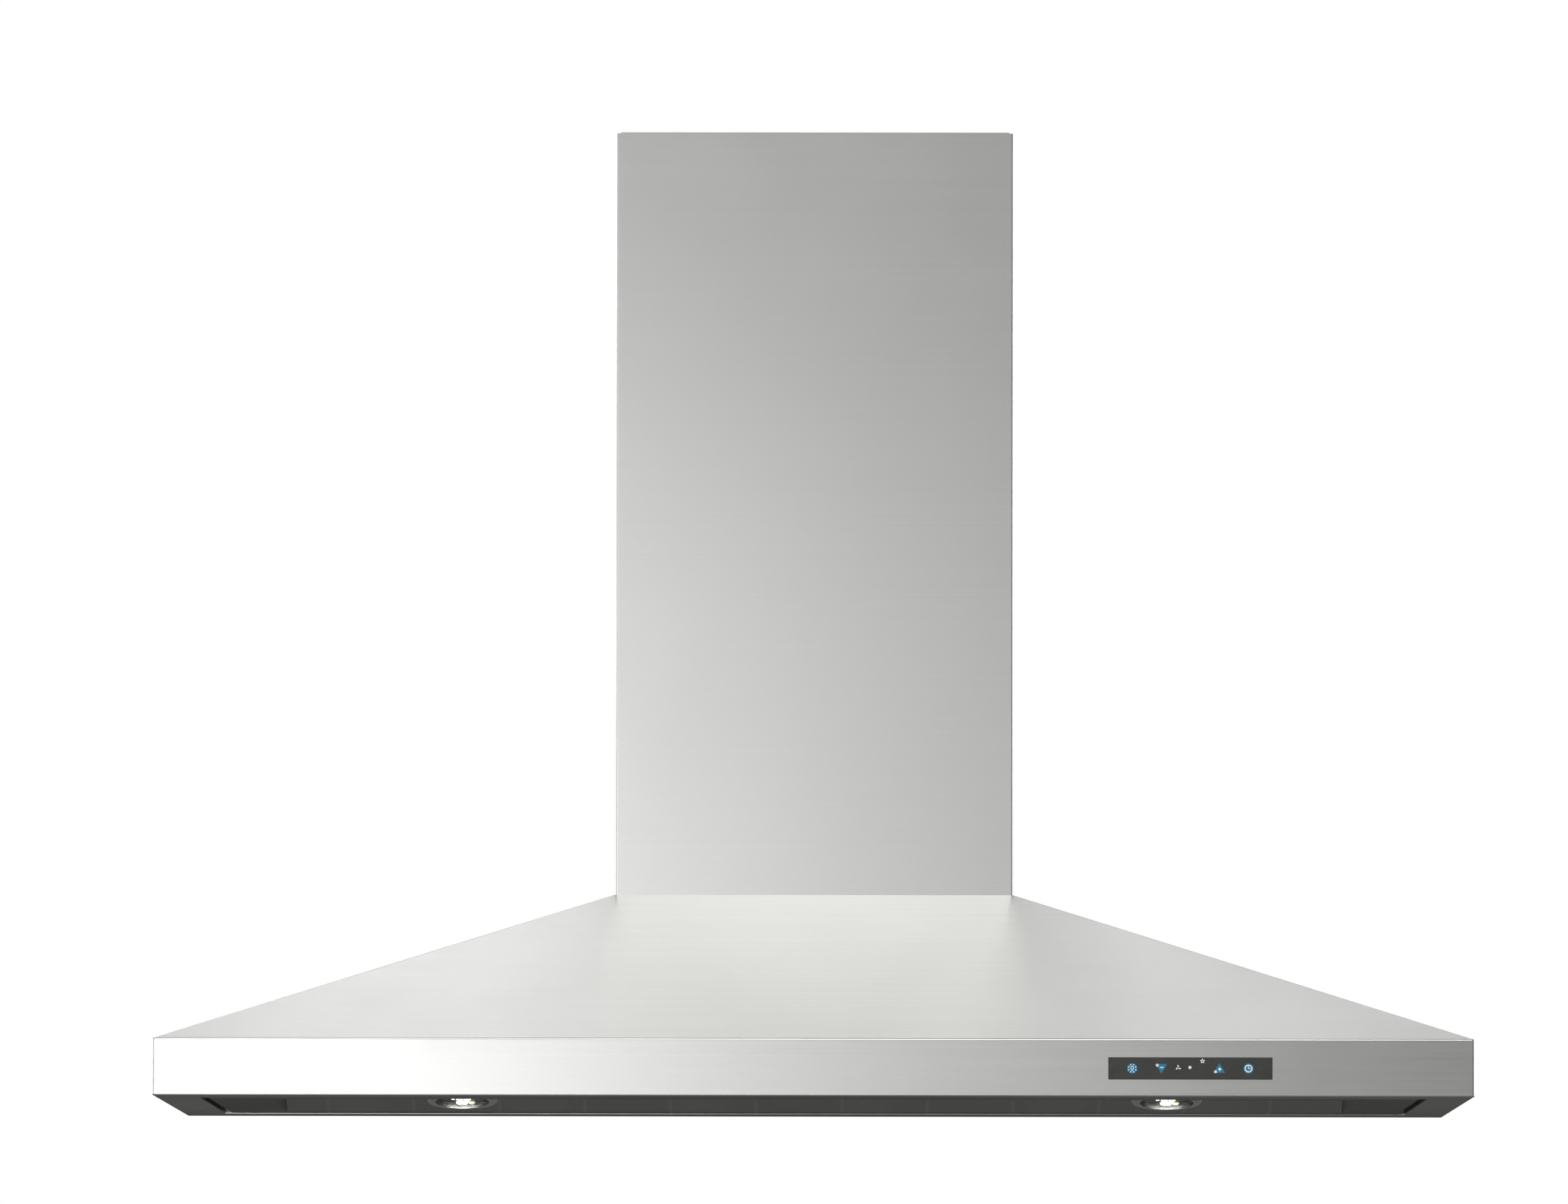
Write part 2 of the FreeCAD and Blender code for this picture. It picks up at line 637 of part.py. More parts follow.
def touch_symbols():
    """Three white marks on the glass between the keys."""
    face = -CANOPY_DEPTH / 2 + 0.2 - ICON_THICKNESS
    spots = ((-DOT_OFFSET, 0.6, 1.8), (-0.3, 0.8, 1.3), (DOT_OFFSET, 6.0, 1.8))
    return [
        rod(radius, (CONTROL_X + x, face, level(CONTROL_HEIGHT) + z), "y", ICON_THICKNESS) for x, z, radius in spots
    ]


CONTROL_BACK_Y = -CANOPY_DEPTH / 2 + 22.0


def control_housing():
    """Moulded tray behind the glass."""
    back_of_glass = -CANOPY_DEPTH / 2 + 3.2
    tray = block(
        (CONTROL_X - 73, CONTROL_X + 73),
        (-CANOPY_DEPTH / 2 + SHEET, CONTROL_BACK_Y),
        (level(CONTROL_HEIGHT - 13), level(CONTROL_HEIGHT + 13)),
    )
    pocket = block(
        (CONTROL_X - CONTROL_WIDTH / 2 - 0.1, CONTROL_X + CONTROL_WIDTH / 2 + 0.1),
        (-CANOPY_DEPTH / 2, back_of_glass),
        (level(CONTROL_HEIGHT - CONTROL_TALL / 2 - 0.1), level(CONTROL_HEIGHT + CONTROL_TALL / 2 + 0.1)),
    )
    room = block(
        (CONTROL_X - 63, CONTROL_X + 63),
        (back_of_glass - 1, CONTROL_BACK_Y - 1.6),
        (level(CONTROL_HEIGHT - 7.5), level(CONTROL_HEIGHT + 7.5)),
    )
    return tray.cut([pocket, room])


def control_board():
    """Touch board with four key pads, three indicators and a connector."""
    front = -CANOPY_DEPTH / 2 + 5.0
    middle = level(CONTROL_HEIGHT)
    board = block((CONTROL_X - 62, CONTROL_X + 62), (front, front + 1.6), (middle - 7, middle + 7))
    pads = [rod(4.5, (CONTROL_X + x, front - 1.2, middle), "y", 1.3) for x in (-47.0, -24.0, 23.0, 47.0)]
    dots = [rod(1.2, (CONTROL_X + x, front - 1.0, middle), "y", 1.1) for x in (-10.0, 0.0, 10.0)]
    plug = block((CONTROL_X + 30, CONTROL_X + 44), (front + 1.5, front + 10), (middle - 4, middle + 4))
    return fused([board, plug] + pads + dots)


POWER_BOX_X = (456.0, 520.0)
POWER_BOX_Y = (-90.0, 90.0)
POWER_BOX_LEVELS = (9.0, 41.0)
BOX_WALL = 2.0


def open_box(x, y, z, wall):
    """Box open at its top."""
    outer = block(x, y, z)
    inner = block((x[0] + wall, x[1] - wall), (y[0] + wall, y[1] - wall), (z[0] + wall, z[1] + 1))
    return outer.cut(inner)


def power_box():
    """Moulded case of the control electronics, above the right side panel."""
    z = (level(POWER_BOX_LEVELS[0]), level(POWER_BOX_LEVELS[1]))
    case = open_box(POWER_BOX_X, POWER_BOX_Y, z, BOX_WALL)
    foot_x = (SIDE_PANEL_INNER + SHEET, POWER_BOX_X[0] + 1)
    feet = [block(foot_x, (y - 6, y + 6), (z[0] + 4, z[0] + 7)) for y in (-60.0, 60.0)]
    return fused([case] + feet)


def power_box_lid():
    """Snap-on lid."""
    top = level(POWER_BOX_LEVELS[1])
    return block(POWER_BOX_X, POWER_BOX_Y, (top, top + 2.0))


def power_board():
    """Main board with transformer, relays, capacitor and terminals."""
    base = level(POWER_BOX_LEVELS[0]) + 6.0
    board = block((460, 516), (-84, 84), (base, base + 1.6))
    transformer = block((466, 500), (-70, -34), (base + 1.5, base + 22))
    relays = [block((466, 482), (y, y + 12), (base + 1.5, base + 16)) for y in (-20.0, -4.0, 12.0, 28.0)]
    drum = rod(7.0, (502, 20, base + 1.5), "z", 20)
    terminals = block((490, 512), (50, 80), (base + 1.5, base + 14))
    pillars = [rod(2.5, (x, y, base - 4.0), "z", 4.1) for x in (464, 512) for y in (-80, 80)]
    return fused([board, transformer, drum, terminals] + relays + pillars)


def led_driver():
    """Lamp power supply above the left side panel, screwed to its upstand by two ears."""
    case = block((-520, -462), (-70, 70), (level(9), level(37)))
    ear_x = (-463, -SIDE_PANEL_INNER - SHEET)
    ears = [block(ear_x, (y - 6, y + 6), (level(13), level(16))) for y in (-50, 50)]
    return fused([case] + ears)


JUNCTION_X = (117.0, 153.0)
JUNCTION_Y = (-45.0, 45.0)
JUNCTION_LEVELS = (432.0, 500.0)
KNOCKOUT_RADIUS = 11.1
KNOCKOUT_X = 135.0
CABLE_ENTRY_HEIGHT = 460.0
JUNCTION_SHEET = 1.2


def junction_box():
    """Steel mains box, open towards the chimney wall, with a conduit knock-out in its top."""
    z = (level(JUNCTION_LEVELS[0]), level(JUNCTION_LEVELS[1]))
    outer = block(JUNCTION_X, JUNCTION_Y, z)
    wall = JUNCTION_SHEET
    inner = block(
        (JUNCTION_X[0] + wall, JUNCTION_X[1] + 1),
        (JUNCTION_Y[0] + wall, JUNCTION_Y[1] - wall),
        (z[0] + wall, z[1] - wall),
    )
    knockout = rod(KNOCKOUT_RADIUS, (KNOCKOUT_X, 0, z[1] - 3), "z", 6)
    cable_entry = rod(4.5, (KNOCKOUT_X, JUNCTION_Y[1] - 3, level(CABLE_ENTRY_HEIGHT)), "y", 6)
    leg_top = z[0] + 1
    leg_low = level(CANOPY_TOP - SHEET + BLOWER_BOX_HEIGHT)
    leg_x = (JUNCTION_X[0], JUNCTION_X[0] + wall)
    legs = [block(leg_x, (y - 4, y + 4), (leg_low, leg_top)) for y in (-40.0, 40.0)]
    return fused([outer.cut([inner, knockout, cable_entry])] + legs)


def junction_box_lid():
    """Cover of the mains box."""
    z = (level(JUNCTION_LEVELS[0]), level(JUNCTION_LEVELS[1]))
    return block((JUNCTION_X[1], JUNCTION_X[1] + 1.0), JUNCTION_Y, z)


def terminal_block():
    """Mains terminals in the junction box."""
    wall = JUNCTION_X[0] + JUNCTION_SHEET
    base = level(JUNCTION_LEVELS[0]) + JUNCTION_SHEET
    body = block((wall + 8, wall + 24), (-30, 30), (base, base + 14))
    wells = [rod(3.0, (wall + 16, y, base + 6), "z", 10) for y in (-20.0, 0.0, 20.0)]
    return body.cut(wells)


def wiring():
    """Cables from the electronics to the control board, the lamps and the junction box."""
    lamp = lamp_surface_height(LAMP_Y)
    to_panel = [
        (488, -90, level(26)),
        (488, -114, level(26)),
        (482, -140, level(38)),
        (468, -168, level(58)),
        (450, -190, level(65)),
        (428, -216, level(62)),
        (396, -270, level(46)),
        (358, -298, level(30)),
        (341, -312, level(CONTROL_HEIGHT + 1)),
        (341, -328, level(CONTROL_HEIGHT + 1)),
    ]
    to_mains = [
        (485, 40, level(POWER_BOX_LEVELS[1] + 2)),
        (485, 40, level(50)),
        (474, 46, level(60)),
        (452, 54, level(67)),
        (418, 60, level(70)),
        (330, 66, level(98)),
        (230, 64, level(130)),
        (168, MAINS_HOLE_Y, level(146)),
        (MAINS_HOLE_X, MAINS_HOLE_Y, level(160)),
        (MAINS_HOLE_X, MAINS_HOLE_Y, level(425)),
        (146, MAINS_HOLE_Y + 1, level(446)),
        (KNOCKOUT_X, 60, level(CABLE_ENTRY_HEIGHT)),
        (KNOCKOUT_X, JUNCTION_Y[1] - JUNCTION_SHEET, level(CABLE_ENTRY_HEIGHT)),
    ]
    to_lamps = [
        (-488, -70, level(23)),
        (-488, -90, level(23)),
        (-484, -112, level(36)),
        (-470, -132, level(54)),
        (-450, -146, level(63)),
        (-424, -154, level(60)),
        (-376, -160, level(46)),
        (-336, -158, level(42)),
        (-317, -154, level(38)),
        (-LAMP_X - 18.5, -LAMP_Y + 13.3, level(lamp + 19.8)),
    ]
    to_rear_lamps = [(x, -y, z) for x, y, z in to_lamps]
    routes = ((to_panel, 3.0), (to_mains, 3.5), (to_lamps, 2.5), (to_rear_lamps, 2.5))
    return [cable(points, radius) for points, radius in routes]


# ---------------------------------------------------------------- blower
def box_low():
    """z of the blower box's foot."""
    return level(CANOPY_TOP - SHEET)


def box_top():
    """z of the blower box's upper face."""
    return box_low() + BLOWER_BOX_HEIGHT


def blower_box():
    """Galvanised box over the deck; the blower hangs from its top."""
    half_x, half_y = BLOWER_BOX_HALF_X, BLOWER_BOX_HALF_Y
    outer = slab(half_x, half_y, (box_low(), box_top()))
    inner = slab(half_x - SHEET, half_y - SHEET, (box_low() - 1, box_top() - SHEET))
    feet = []
    for side in (-1, 1):
        low, high = sorted((side * (half_y - SHEET), side * (half_y - 15)))
        feet.append(block((-half_x + 2, half_x - 2), (low, high), (box_low(), box_low() + SHEET)))
    outlet = rod(COLLAR_RADIUS - 2, (0, COLLAR_Y, box_top() - 5), "z", 10)
    outlet = outlet.common(block((-100, 100), outlet_y(), (box_top() - 10, box_top() + 10)))
    bolt_holes = [rod(2.2, (x, y, box_low() - 1), "z", 4) for x, y in deck_bolt_spots()]
    return fused([outer.cut(inner)] + feet).cut([outlet] + bolt_holes)


SCROLL_START = 88.0
SCROLL_SMALL = 95.0
SCROLL_LARGE = 118.0


def scroll_point(angle, offset):
    """Point of the scroll's spiral in the yz plane, moved outwards by offset."""
    share = (angle - SCROLL_START) / (360.0 - SCROLL_START)
    radius = SCROLL_SMALL + (SCROLL_LARGE - SCROLL_SMALL) * share + offset
    turn = math.radians(angle)
    return ROTOR_Y + radius * math.cos(turn), level(ROTOR_HEIGHT) + radius * math.sin(turn)


def outlet_y():
    """Front and rear inner faces of the blower's upright outlet."""
    return scroll_point(SCROLL_START, 0.0)[0], scroll_point(360.0, 0.0)[0]


def scroll_solid(offset, start, width):
    """Spiral with its outlet as one solid, grown by offset, from x = start."""
    steps = 16
    angles = [SCROLL_START + (360.0 - SCROLL_START) * i / steps for i in range(steps + 1)]
    points = [Vector(start, *scroll_point(a, offset)) for a in angles]
    spiral = Part.BSplineCurve()
    spiral.interpolate(points)
    chord = Part.LineSegment(points[-1], points[0]).toShape()
    drum = Part.Face(Part.Wire([spiral.toShape(), chord])).extrude(Vector(width, 0, 0))
    low_y, high_y = outlet_y()
    chute = block(
        (start, start + width),
        (low_y - offset, high_y + offset),
        (level(ROTOR_HEIGHT), box_top() - SHEET),
    )
    return fused([drum, chute])


def blower_scroll():
    """Spiral wrap of the blower housing."""
    width = 2 * SCROLL_HALF_WIDTH
    return scroll_solid(SHEET, -SCROLL_HALF_WIDTH, width).cut(scroll_solid(0.0, -SCROLL_HALF_WIDTH, width))


INLET_RADIUS = 70.0
INLET_LIP = 9.0


def inlet_plate(side):
    """Side plate of the blower housing with its bell-mouth inlet; side is -1 for left and 1 for right."""
    middle = (ROTOR_Y, level(ROTOR_HEIGHT))
    face = side * SCROLL_HALF_WIDTH
    low = min(face, face + side * SHEET)
    plate = scroll_solid(SHEET, low, SHEET)
    hole = rod(INLET_RADIUS, (face - 20, *middle), "x", 40)
    lip_low = min(face, face + side * INLET_LIP)
    lip = washer(INLET_RADIUS + 3, INLET_RADIUS, (lip_low, *middle), "x", INLET_LIP)
    return fused([plate.cut(hole), lip])


BLADE_COUNT = 36


def impeller():
    """Double-inlet wheel: hub, middle disc, forward-curved blades and end rings."""
    middle = (0.0, ROTOR_Y, level(ROTOR_HEIGHT))
    disc = rod(ROTOR_RADIUS - 2, (-1.0, middle[1], middle[2]), "x", 2)
    hub = rod(18.0, (-6.0, middle[1], middle[2]), "x", 26)
    rings = [
        washer(ROTOR_RADIUS, ROTOR_RADIUS - 14, (x, middle[1], middle[2]), "x", 2)
        for x in (-ROTOR_HALF_LENGTH, ROTOR_HALF_LENGTH - 2)
    ]
    inner_r, outer_r, lean = ROTOR_RADIUS - 13.5, ROTOR_RADIUS - 0.8, math.radians(7.5)
    start = -ROTOR_HALF_LENGTH + 0.5

    def polar(radius, angle):
        return Vector(start, radius * math.cos(angle), radius * math.sin(angle))

    thick = 1.0
    middle_r = (inner_r + outer_r) / 2
    shift = thick / ROTOR_RADIUS
    front = Part.Arc(polar(inner_r, 0), polar(middle_r, lean * 0.25), polar(outer_r, lean))
    back = Part.Arc(polar(outer_r, lean + shift), polar(middle_r, lean * 0.25 + shift), polar(inner_r, shift))
    edges = [
        front.toShape(),
        Part.LineSegment(polar(outer_r, lean), polar(outer_r, lean + shift)).toShape(),
        back.toShape(),
        Part.LineSegment(polar(inner_r, shift), polar(inner_r, 0)).toShape(),
    ]
    blade = Part.Face(Part.Wire(edges)).extrude(Vector(2 * ROTOR_HALF_LENGTH - 1, 0, 0))
    blades = []
    for i in range(BLADE_COUNT):
        copy = blade.copy()
        copy.rotate(Vector(0, 0, 0), DIRECTIONS["x"], 360.0 * i / BLADE_COUNT)
        copy.translate(Vector(0, middle[1], middle[2]))
        blades.append(copy)
    bore = rod(SHAFT_RADIUS, (-10, middle[1], middle[2]), "x", 40)
    return fused([disc, hub] + rings + blades).cut(bore)


def motor_shaft():
    """Shaft, held by the hub and running in the motor."""
    return rod(SHAFT_RADIUS, (-34, ROTOR_Y, level(ROTOR_HEIGHT)), "x", 58)


def motor_body():
    """Motor inside the left half of the wheel."""
    middle = (ROTOR_Y, level(ROTOR_HEIGHT))
    can = rod(42.0, (-70, *middle), "x", 52)
    nose = rod(16.0, (-19, *middle), "x", 9)
    rear = rod(34.0, (-82, *middle), "x", 13)
    bore = rod(SHAFT_RADIUS + SHAFT_PLAY, (-36, *middle), "x", 40)
    can = can.makeFillet(4.0, [e for e in can.Edges if e.Length > 100 and e.Closed])
    return fused([can, nose, rear]).cut(bore)


def motor_bracket():
    """Three-armed spider that holds the motor in the left inlet."""
    outer_x = -SCROLL_HALF_WIDTH - INLET_LIP - 2.5
    middle = (ROTOR_Y, level(ROTOR_HEIGHT))
    hub = rod(34.0, (outer_x, *middle), "x", -outer_x - 82.0)
    arms = []
    for turn in (90.0, 210.0, 330.0):
        arm = block((outer_x, outer_x + 2.5), (20, 84), (-5, 5))
        foot = block((outer_x, -SCROLL_HALF_WIDTH - SHEET), (76, 84), (-5, 5))
        piece = fused([arm, foot])
        piece.rotate(Vector(0, 0, 0), DIRECTIONS["x"], turn)
        piece.translate(Vector(0, *middle))
        arms.append(piece)
    return fused([hub] + arms)


def motor_capacitor():
    """Run capacitor, clipped to the box wall."""
    can = rod(14.0, (-122, 92, box_low() + 40), "z", 58)
    strap = block((-144, -122), (86, 98), (box_low() + 62, box_low() + 68))
    return fused([can, strap])


def deck_bolts():
    """Six bolts that clamp the blower box to the deck."""
    bolts = []
    for x, y in deck_bolt_spots():
        shank = rod(2.0, (x, y, box_low() - DECK_THICKNESS - 3), "z", DECK_THICKNESS + 3 + SHEET + 3)
        head = rod(4.0, (x, y, box_low() + SHEET), "z", 3)
        nut = rod(3.8, (x, y, box_low() - DECK_THICKNESS - 3), "z", 3)
        bolts.append(fused([shank, head, nut]))
    return bolts


# ---------------------------------------------------------------- duct collar and damper
def duct_collar():
    """Round spigot on the blower box, with a flange below and a seat for the flaps."""
    base = box_top()
    tube = washer(COLLAR_RADIUS, COLLAR_RADIUS - 0.8, (0, COLLAR_Y, base), "z", COLLAR_HEIGHT)
    flange = washer(COLLAR_RADIUS + 3, COLLAR_RADIUS - 0.8, (0, COLLAR_Y, base), "z", 1.0)
    seat_z = base + FLAP_LEVEL - 3.0
    seat = washer(COLLAR_RADIUS - 0.4, COLLAR_RADIUS - 5, (0, COLLAR_Y, seat_z), "z", 1.0)
    pin_holes = [
        rod(1.5, (x, COLLAR_Y - COLLAR_RADIUS - 5, base + FLAP_LEVEL), "y", 2 * COLLAR_RADIUS + 10)
        for x in (-FLAP_AXIS_X, FLAP_AXIS_X)
    ]
    return fused([tube, flange, seat]).cut(pin_holes)


def damper_pins():
    """Two rods across the collar."""
    half = math.sqrt(COLLAR_RADIUS**2 - FLAP_AXIS_X**2) - 0.1
    z = box_top() + FLAP_LEVEL
    return [rod(1.5, (x, COLLAR_Y - half, z), "y", 2 * half) for x in (-FLAP_AXIS_X, FLAP_AXIS_X)]


def damper_flap(side):
    """Half-round flap with two rolled knuckles on its rod; side is -1 for left and 1 for right."""
    pivot_z = box_top() + FLAP_LEVEL
    disc = rod(COLLAR_RADIUS - 1.8, (0, COLLAR_Y, pivot_z - 1.7), "z", 0.8)
    edge = side * FLAP_AXIS_X
    low, high = sorted((edge, side * 100))
    side_room = block((low, high), (COLLAR_Y - 100, COLLAR_Y + 100), (pivot_z - 10, pivot_z + 10))
    half_disc = disc.common(side_room)
    low, high = sorted((side * 0.3, edge))
    inner_strip = block((low, high), (COLLAR_Y - 65, COLLAR_Y + 65), (pivot_z - 1.7, pivot_z - 0.9))
    knuckles = [rod(2.5, (edge, COLLAR_Y + y - 10, pivot_z), "y", 20) for y in (-45.0, 45.0)]
    bore = rod(1.5 + 0.08, (edge, COLLAR_Y - 90, pivot_z), "y", 180)
    return fused([half_disc, inner_strip] + knuckles).cut(bore)


# ---------------------------------------------------------------- ceiling frame and chimney
def ceiling_bracket():
    """Steel ring bolted to the ceiling, with a skirt that the rails and the upper cover are screwed to."""
    plate = slab(BRACKET_HALF_X, BRACKET_HALF_Y, (-BRACKET_THICKNESS, 0))
    skirt_z = (-BRACKET_THICKNESS - BRACKET_SKIRT, -BRACKET_THICKNESS)
    skirt = slab(BRACKET_HALF_X, BRACKET_HALF_Y, skirt_z)
    skirt = skirt.cut(slab(BRACKET_HALF_X - 1.6, BRACKET_HALF_Y - 1.6, (skirt_z[0] - 1, skirt_z[1] + 1)))
    opening = block(BRACKET_OPENING_X, BRACKET_OPENING_Y, (-10, 10))
    mains_hole = rod(BRACKET_MAINS_RADIUS, (KNOCKOUT_X, 0, -10), "z", 20)
    bolts = [
        rod(CEILING_BOLT_HOLE, (x, y, -10), "z", 20)
        for x in (-CEILING_BOLT_X, CEILING_BOLT_X)
        for y in (-CEILING_BOLT_Y, CEILING_BOLT_Y)
    ]
    return fused([plate, skirt]).cut([opening, mains_hole] + bolts + cover_screws(1.6, 6.0, 0))


def cover_screw_spots():
    """(x, z) of the screws that hold the upper cover, on its front and rear."""
    return [(x, -BRACKET_THICKNESS - BRACKET_SKIRT / 2) for x in (-90.0, 90.0)]


def cover_screws(radius, length, head):
    """Screws, or their holes when head is zero, through the upper cover's front and rear into the skirt."""
    shapes = []
    for side in (-1, 1):
        for x, z in cover_screw_spots():
            outer = UPPER_COVER_HALF_Y
            low = side * outer if side < 0 else side * outer - length
            pieces = [rod(radius, (x, low, z), "y", length)]
            if head:
                pieces.append(rod(3.4, (x, side * outer if side > 0 else -outer - head, z), "y", head))
            shapes.append(fused(pieces))
    return shapes


def angle_rail(outer_x, outer_y, z):
    """Angle section in the front right corner, open towards the middle."""
    legs = [
        block((outer_x - RAIL_LEG, outer_x), (outer_y - RAIL_SHEET, outer_y), z),
        block((outer_x - RAIL_SHEET, outer_x), (outer_y - RAIL_LEG, outer_y), z),
    ]
    return fused(legs)


LOCK_BOLT_X = 147.0
LOCK_BOLT_RADIUS = 2.5


def upper_rails():
    """Four angles fixed to the bracket, each with a long slot for its lock bolt."""
    z = (-BRACKET_THICKNESS - UPPER_RAIL_LENGTH, -BRACKET_THICKNESS)
    rail = angle_rail(UPPER_RAIL_X, UPPER_RAIL_Y, z)
    slot_half = LOCK_BOLT_RADIUS + 0.3
    slot = block(
        (LOCK_BOLT_X - slot_half, LOCK_BOLT_X + slot_half),
        (UPPER_RAIL_Y - 3, UPPER_RAIL_Y + 1),
        (LOCK_BOLT_Z - SLIDE_TRAVEL - 10, LOCK_BOLT_Z + 10),
    )
    return four_ways(rail.cut(slot))


def lower_rails():
    """Four angles standing on the canopy's deck inside the upper ones."""
    rail = angle_rail(LOWER_RAIL_X, LOWER_RAIL_Y, (box_low(), LOWER_RAIL_TOP))
    hole = rod(LOCK_BOLT_RADIUS + 0.1, (LOCK_BOLT_X, LOWER_RAIL_Y - 3, LOCK_BOLT_Z), "y", 4)
    return four_ways(rail.cut(hole))


def rail_lock_bolts():
    """Bolts that clamp each lower rail to its upper rail at the chosen height."""
    start = LOWER_RAIL_Y - RAIL_SHEET
    shank = rod(LOCK_BOLT_RADIUS, (LOCK_BOLT_X, start, LOCK_BOLT_Z), "y", UPPER_RAIL_Y + 1.6 - start)
    head = rod(4.2, (LOCK_BOLT_X, UPPER_RAIL_Y + 0.2, LOCK_BOLT_Z), "y", 1.4)
    nut = rod(4.4, (LOCK_BOLT_X, start - 4, LOCK_BOLT_Z), "y", 4)
    return four_ways(fused([shank, head, nut]))


def upper_chimney_cover():
    """Inner telescoping cover, fixed to the bracket."""
    tube = square_tube(UPPER_COVER_HALF_X, UPPER_COVER_HALF_Y, (-UPPER_COVER_LENGTH, 0))
    return tube.cut(cover_screws(1.6, 6.0, 0))


SEAM_LAP = 12.0
SEAM_SCREW_ZS = (-60.0, -314.0, -568.0)


def seam_screws(radius, head):
    """Screws, or their holes when head is zero, along both side seams of the lower cover."""
    shapes = []
    half = CHIMNEY_WIDTH / 2
    for side in (-1, 1):
        for z in SEAM_SCREW_ZS:
            low = half - 2.4 if side > 0 else -half
            pieces = [rod(radius, (low, -SEAM_LAP / 2, z), "x", 2.4)]
            if head:
                pieces.append(rod(3.4, (half if side > 0 else -half - head, -SEAM_LAP / 2, z), "x", head))
            shapes.append(fused(pieces))
    return shapes


def lower_chimney_half(side):
    """Front (-1) or rear (1) half of the outer cover; the rear half carries the joggled laps."""
    half_x, half_y = CHIMNEY_WIDTH / 2, CHIMNEY_DEPTH / 2
    z = (level(CANOPY_TOP), -1.0)
    tube = square_tube(half_x, half_y, z)
    low, high = sorted((0.0, side * 200.0))
    shell = tube.common(block((-200, 200), (low, high), (z[0] - 1, z[1] + 1)))
    if side > 0:
        lap = block((half_x - 2 * SHEET, half_x - SHEET), (-SEAM_LAP, 8), z)
        shell = fused([shell, lap, mirrored(lap, "x")])
    return shell.cut(seam_screws(1.6, 0))


def badge_plate():
    """Small blank plate on the left of the rim."""
    x, height = -480.0, 23.0
    plate = block(
        (x - 11, x + 11),
        (-CANOPY_DEPTH / 2 - 0.4, -CANOPY_DEPTH / 2),
        (level(height - 6), level(height + 6)),
    )
    return plate.makeFillet(1.5, [e for e in plate.Edges if abs(e.BoundBox.YLength - 0.4) < 0.01])


# ---------------------------------------------------------------- all nodes
def main():
    """Builds every sub-part and writes it to parts/."""
    os.makedirs("parts", exist_ok=True)

    save("ceiling_bracket", [ceiling_bracket()])
    save("upper_rails", upper_rails())
    save("upper_chimney_cover", [upper_chimney_cover()])
    save("upper_cover_screws", cover_screws(1.6, 3.4, 1.0))

    save("canopy_shell", [canopy_shell()])
    save("canopy_deck", [canopy_deck()])
    save("lower_rails", lower_rails())
    save("rail_lock_bolts", rail_lock_bolts())
    save("lower_chimney_front", [lower_chimney_half(-1)])
    save("lower_chimney_rear", [lower_chimney_half(1)])
    save("chimney_seam_screws", seam_screws(1.6, 1.4))
    save("badge_plate", [badge_plate()])

    save("right_side_panel", [side_panel()])
    save("left_side_panel", [mirrored(side_panel(), "x")])
    save("front_lamp_panel", [lamp_panel(rear=False)])
    save("rear_lamp_panel", [lamp_panel(rear=True)])
    save("underside_screws", rim_screw_holes(0.0))
    save("filter_pivot_brackets", pivot_brackets())
    save("filter_crossbars", crossbars())

    save("blower_box", [blower_box()])
    save("deck_bolts", deck_bolts())
    save("blower_scroll", [blower_scroll()])
    save("left_inlet_plate", [inlet_plate(-1)])
    save("right_inlet_plate", [inlet_plate(1)])
    save("impeller", [impeller()])
    save("motor_shaft", [motor_shaft()])
    save("motor_body", [motor_body()])
    save("motor_bracket", [motor_bracket()])
    save("motor_capacitor", [motor_capacitor()])
    save("duct_collar", [duct_collar()])
    save("damper_pins", damper_pins())
    save("left_damper_flap", [damper_flap(-1)])
    save("right_damper_flap", [damper_flap(1)])

    save("power_box", [power_box()])
    save("power_box_lid", [power_box_lid()])
    save("power_board", [power_board()])
    save("led_driver", [led_driver()])
    save("junction_box", [junction_box()])
    save("junction_box_lid", [junction_box_lid()])
    save("terminal_block", [terminal_block()])
    save("wiring", wiring())

    save("control_glass", [control_glass()])
    save("touch_icons", touch_icons())
    save("touch_symbols", touch_symbols())
    save("control_housing", [control_housing()])
    save("control_board", [control_board()])

    save("lamp_bezels", on_lamp_panels(lamp_bezel()))
    save("lamp_lenses", on_lamp_panels(lamp_lens()))
    save("lamp_led_boards", on_lamp_panels(lamp_led_board()))
    save("lamp_bodies", on_lamp_panels(lamp_body()))

    save("filter_keepers", [filter_keeper(i) for i in range(FILTER_COUNT)])
    for i, name in enumerate(("left", "middle", "right")):
        save(f"{name}_filter_frame", [filter_frame(i)])
        save(f"{name}_filter_baffles", baffles(i))
        save(f"{name}_filter_latch", [filter_latch(i)])


main()
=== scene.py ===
"""Island range hood: finishes, printed key marks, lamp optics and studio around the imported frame."""

from __future__ import annotations

import json
import logging
import math
from collections.abc import Iterable, Sequence
from dataclasses import dataclass, field
from enum import Enum
from typing import Union

import bmesh
import bpy
from mathutils import Matrix, Vector

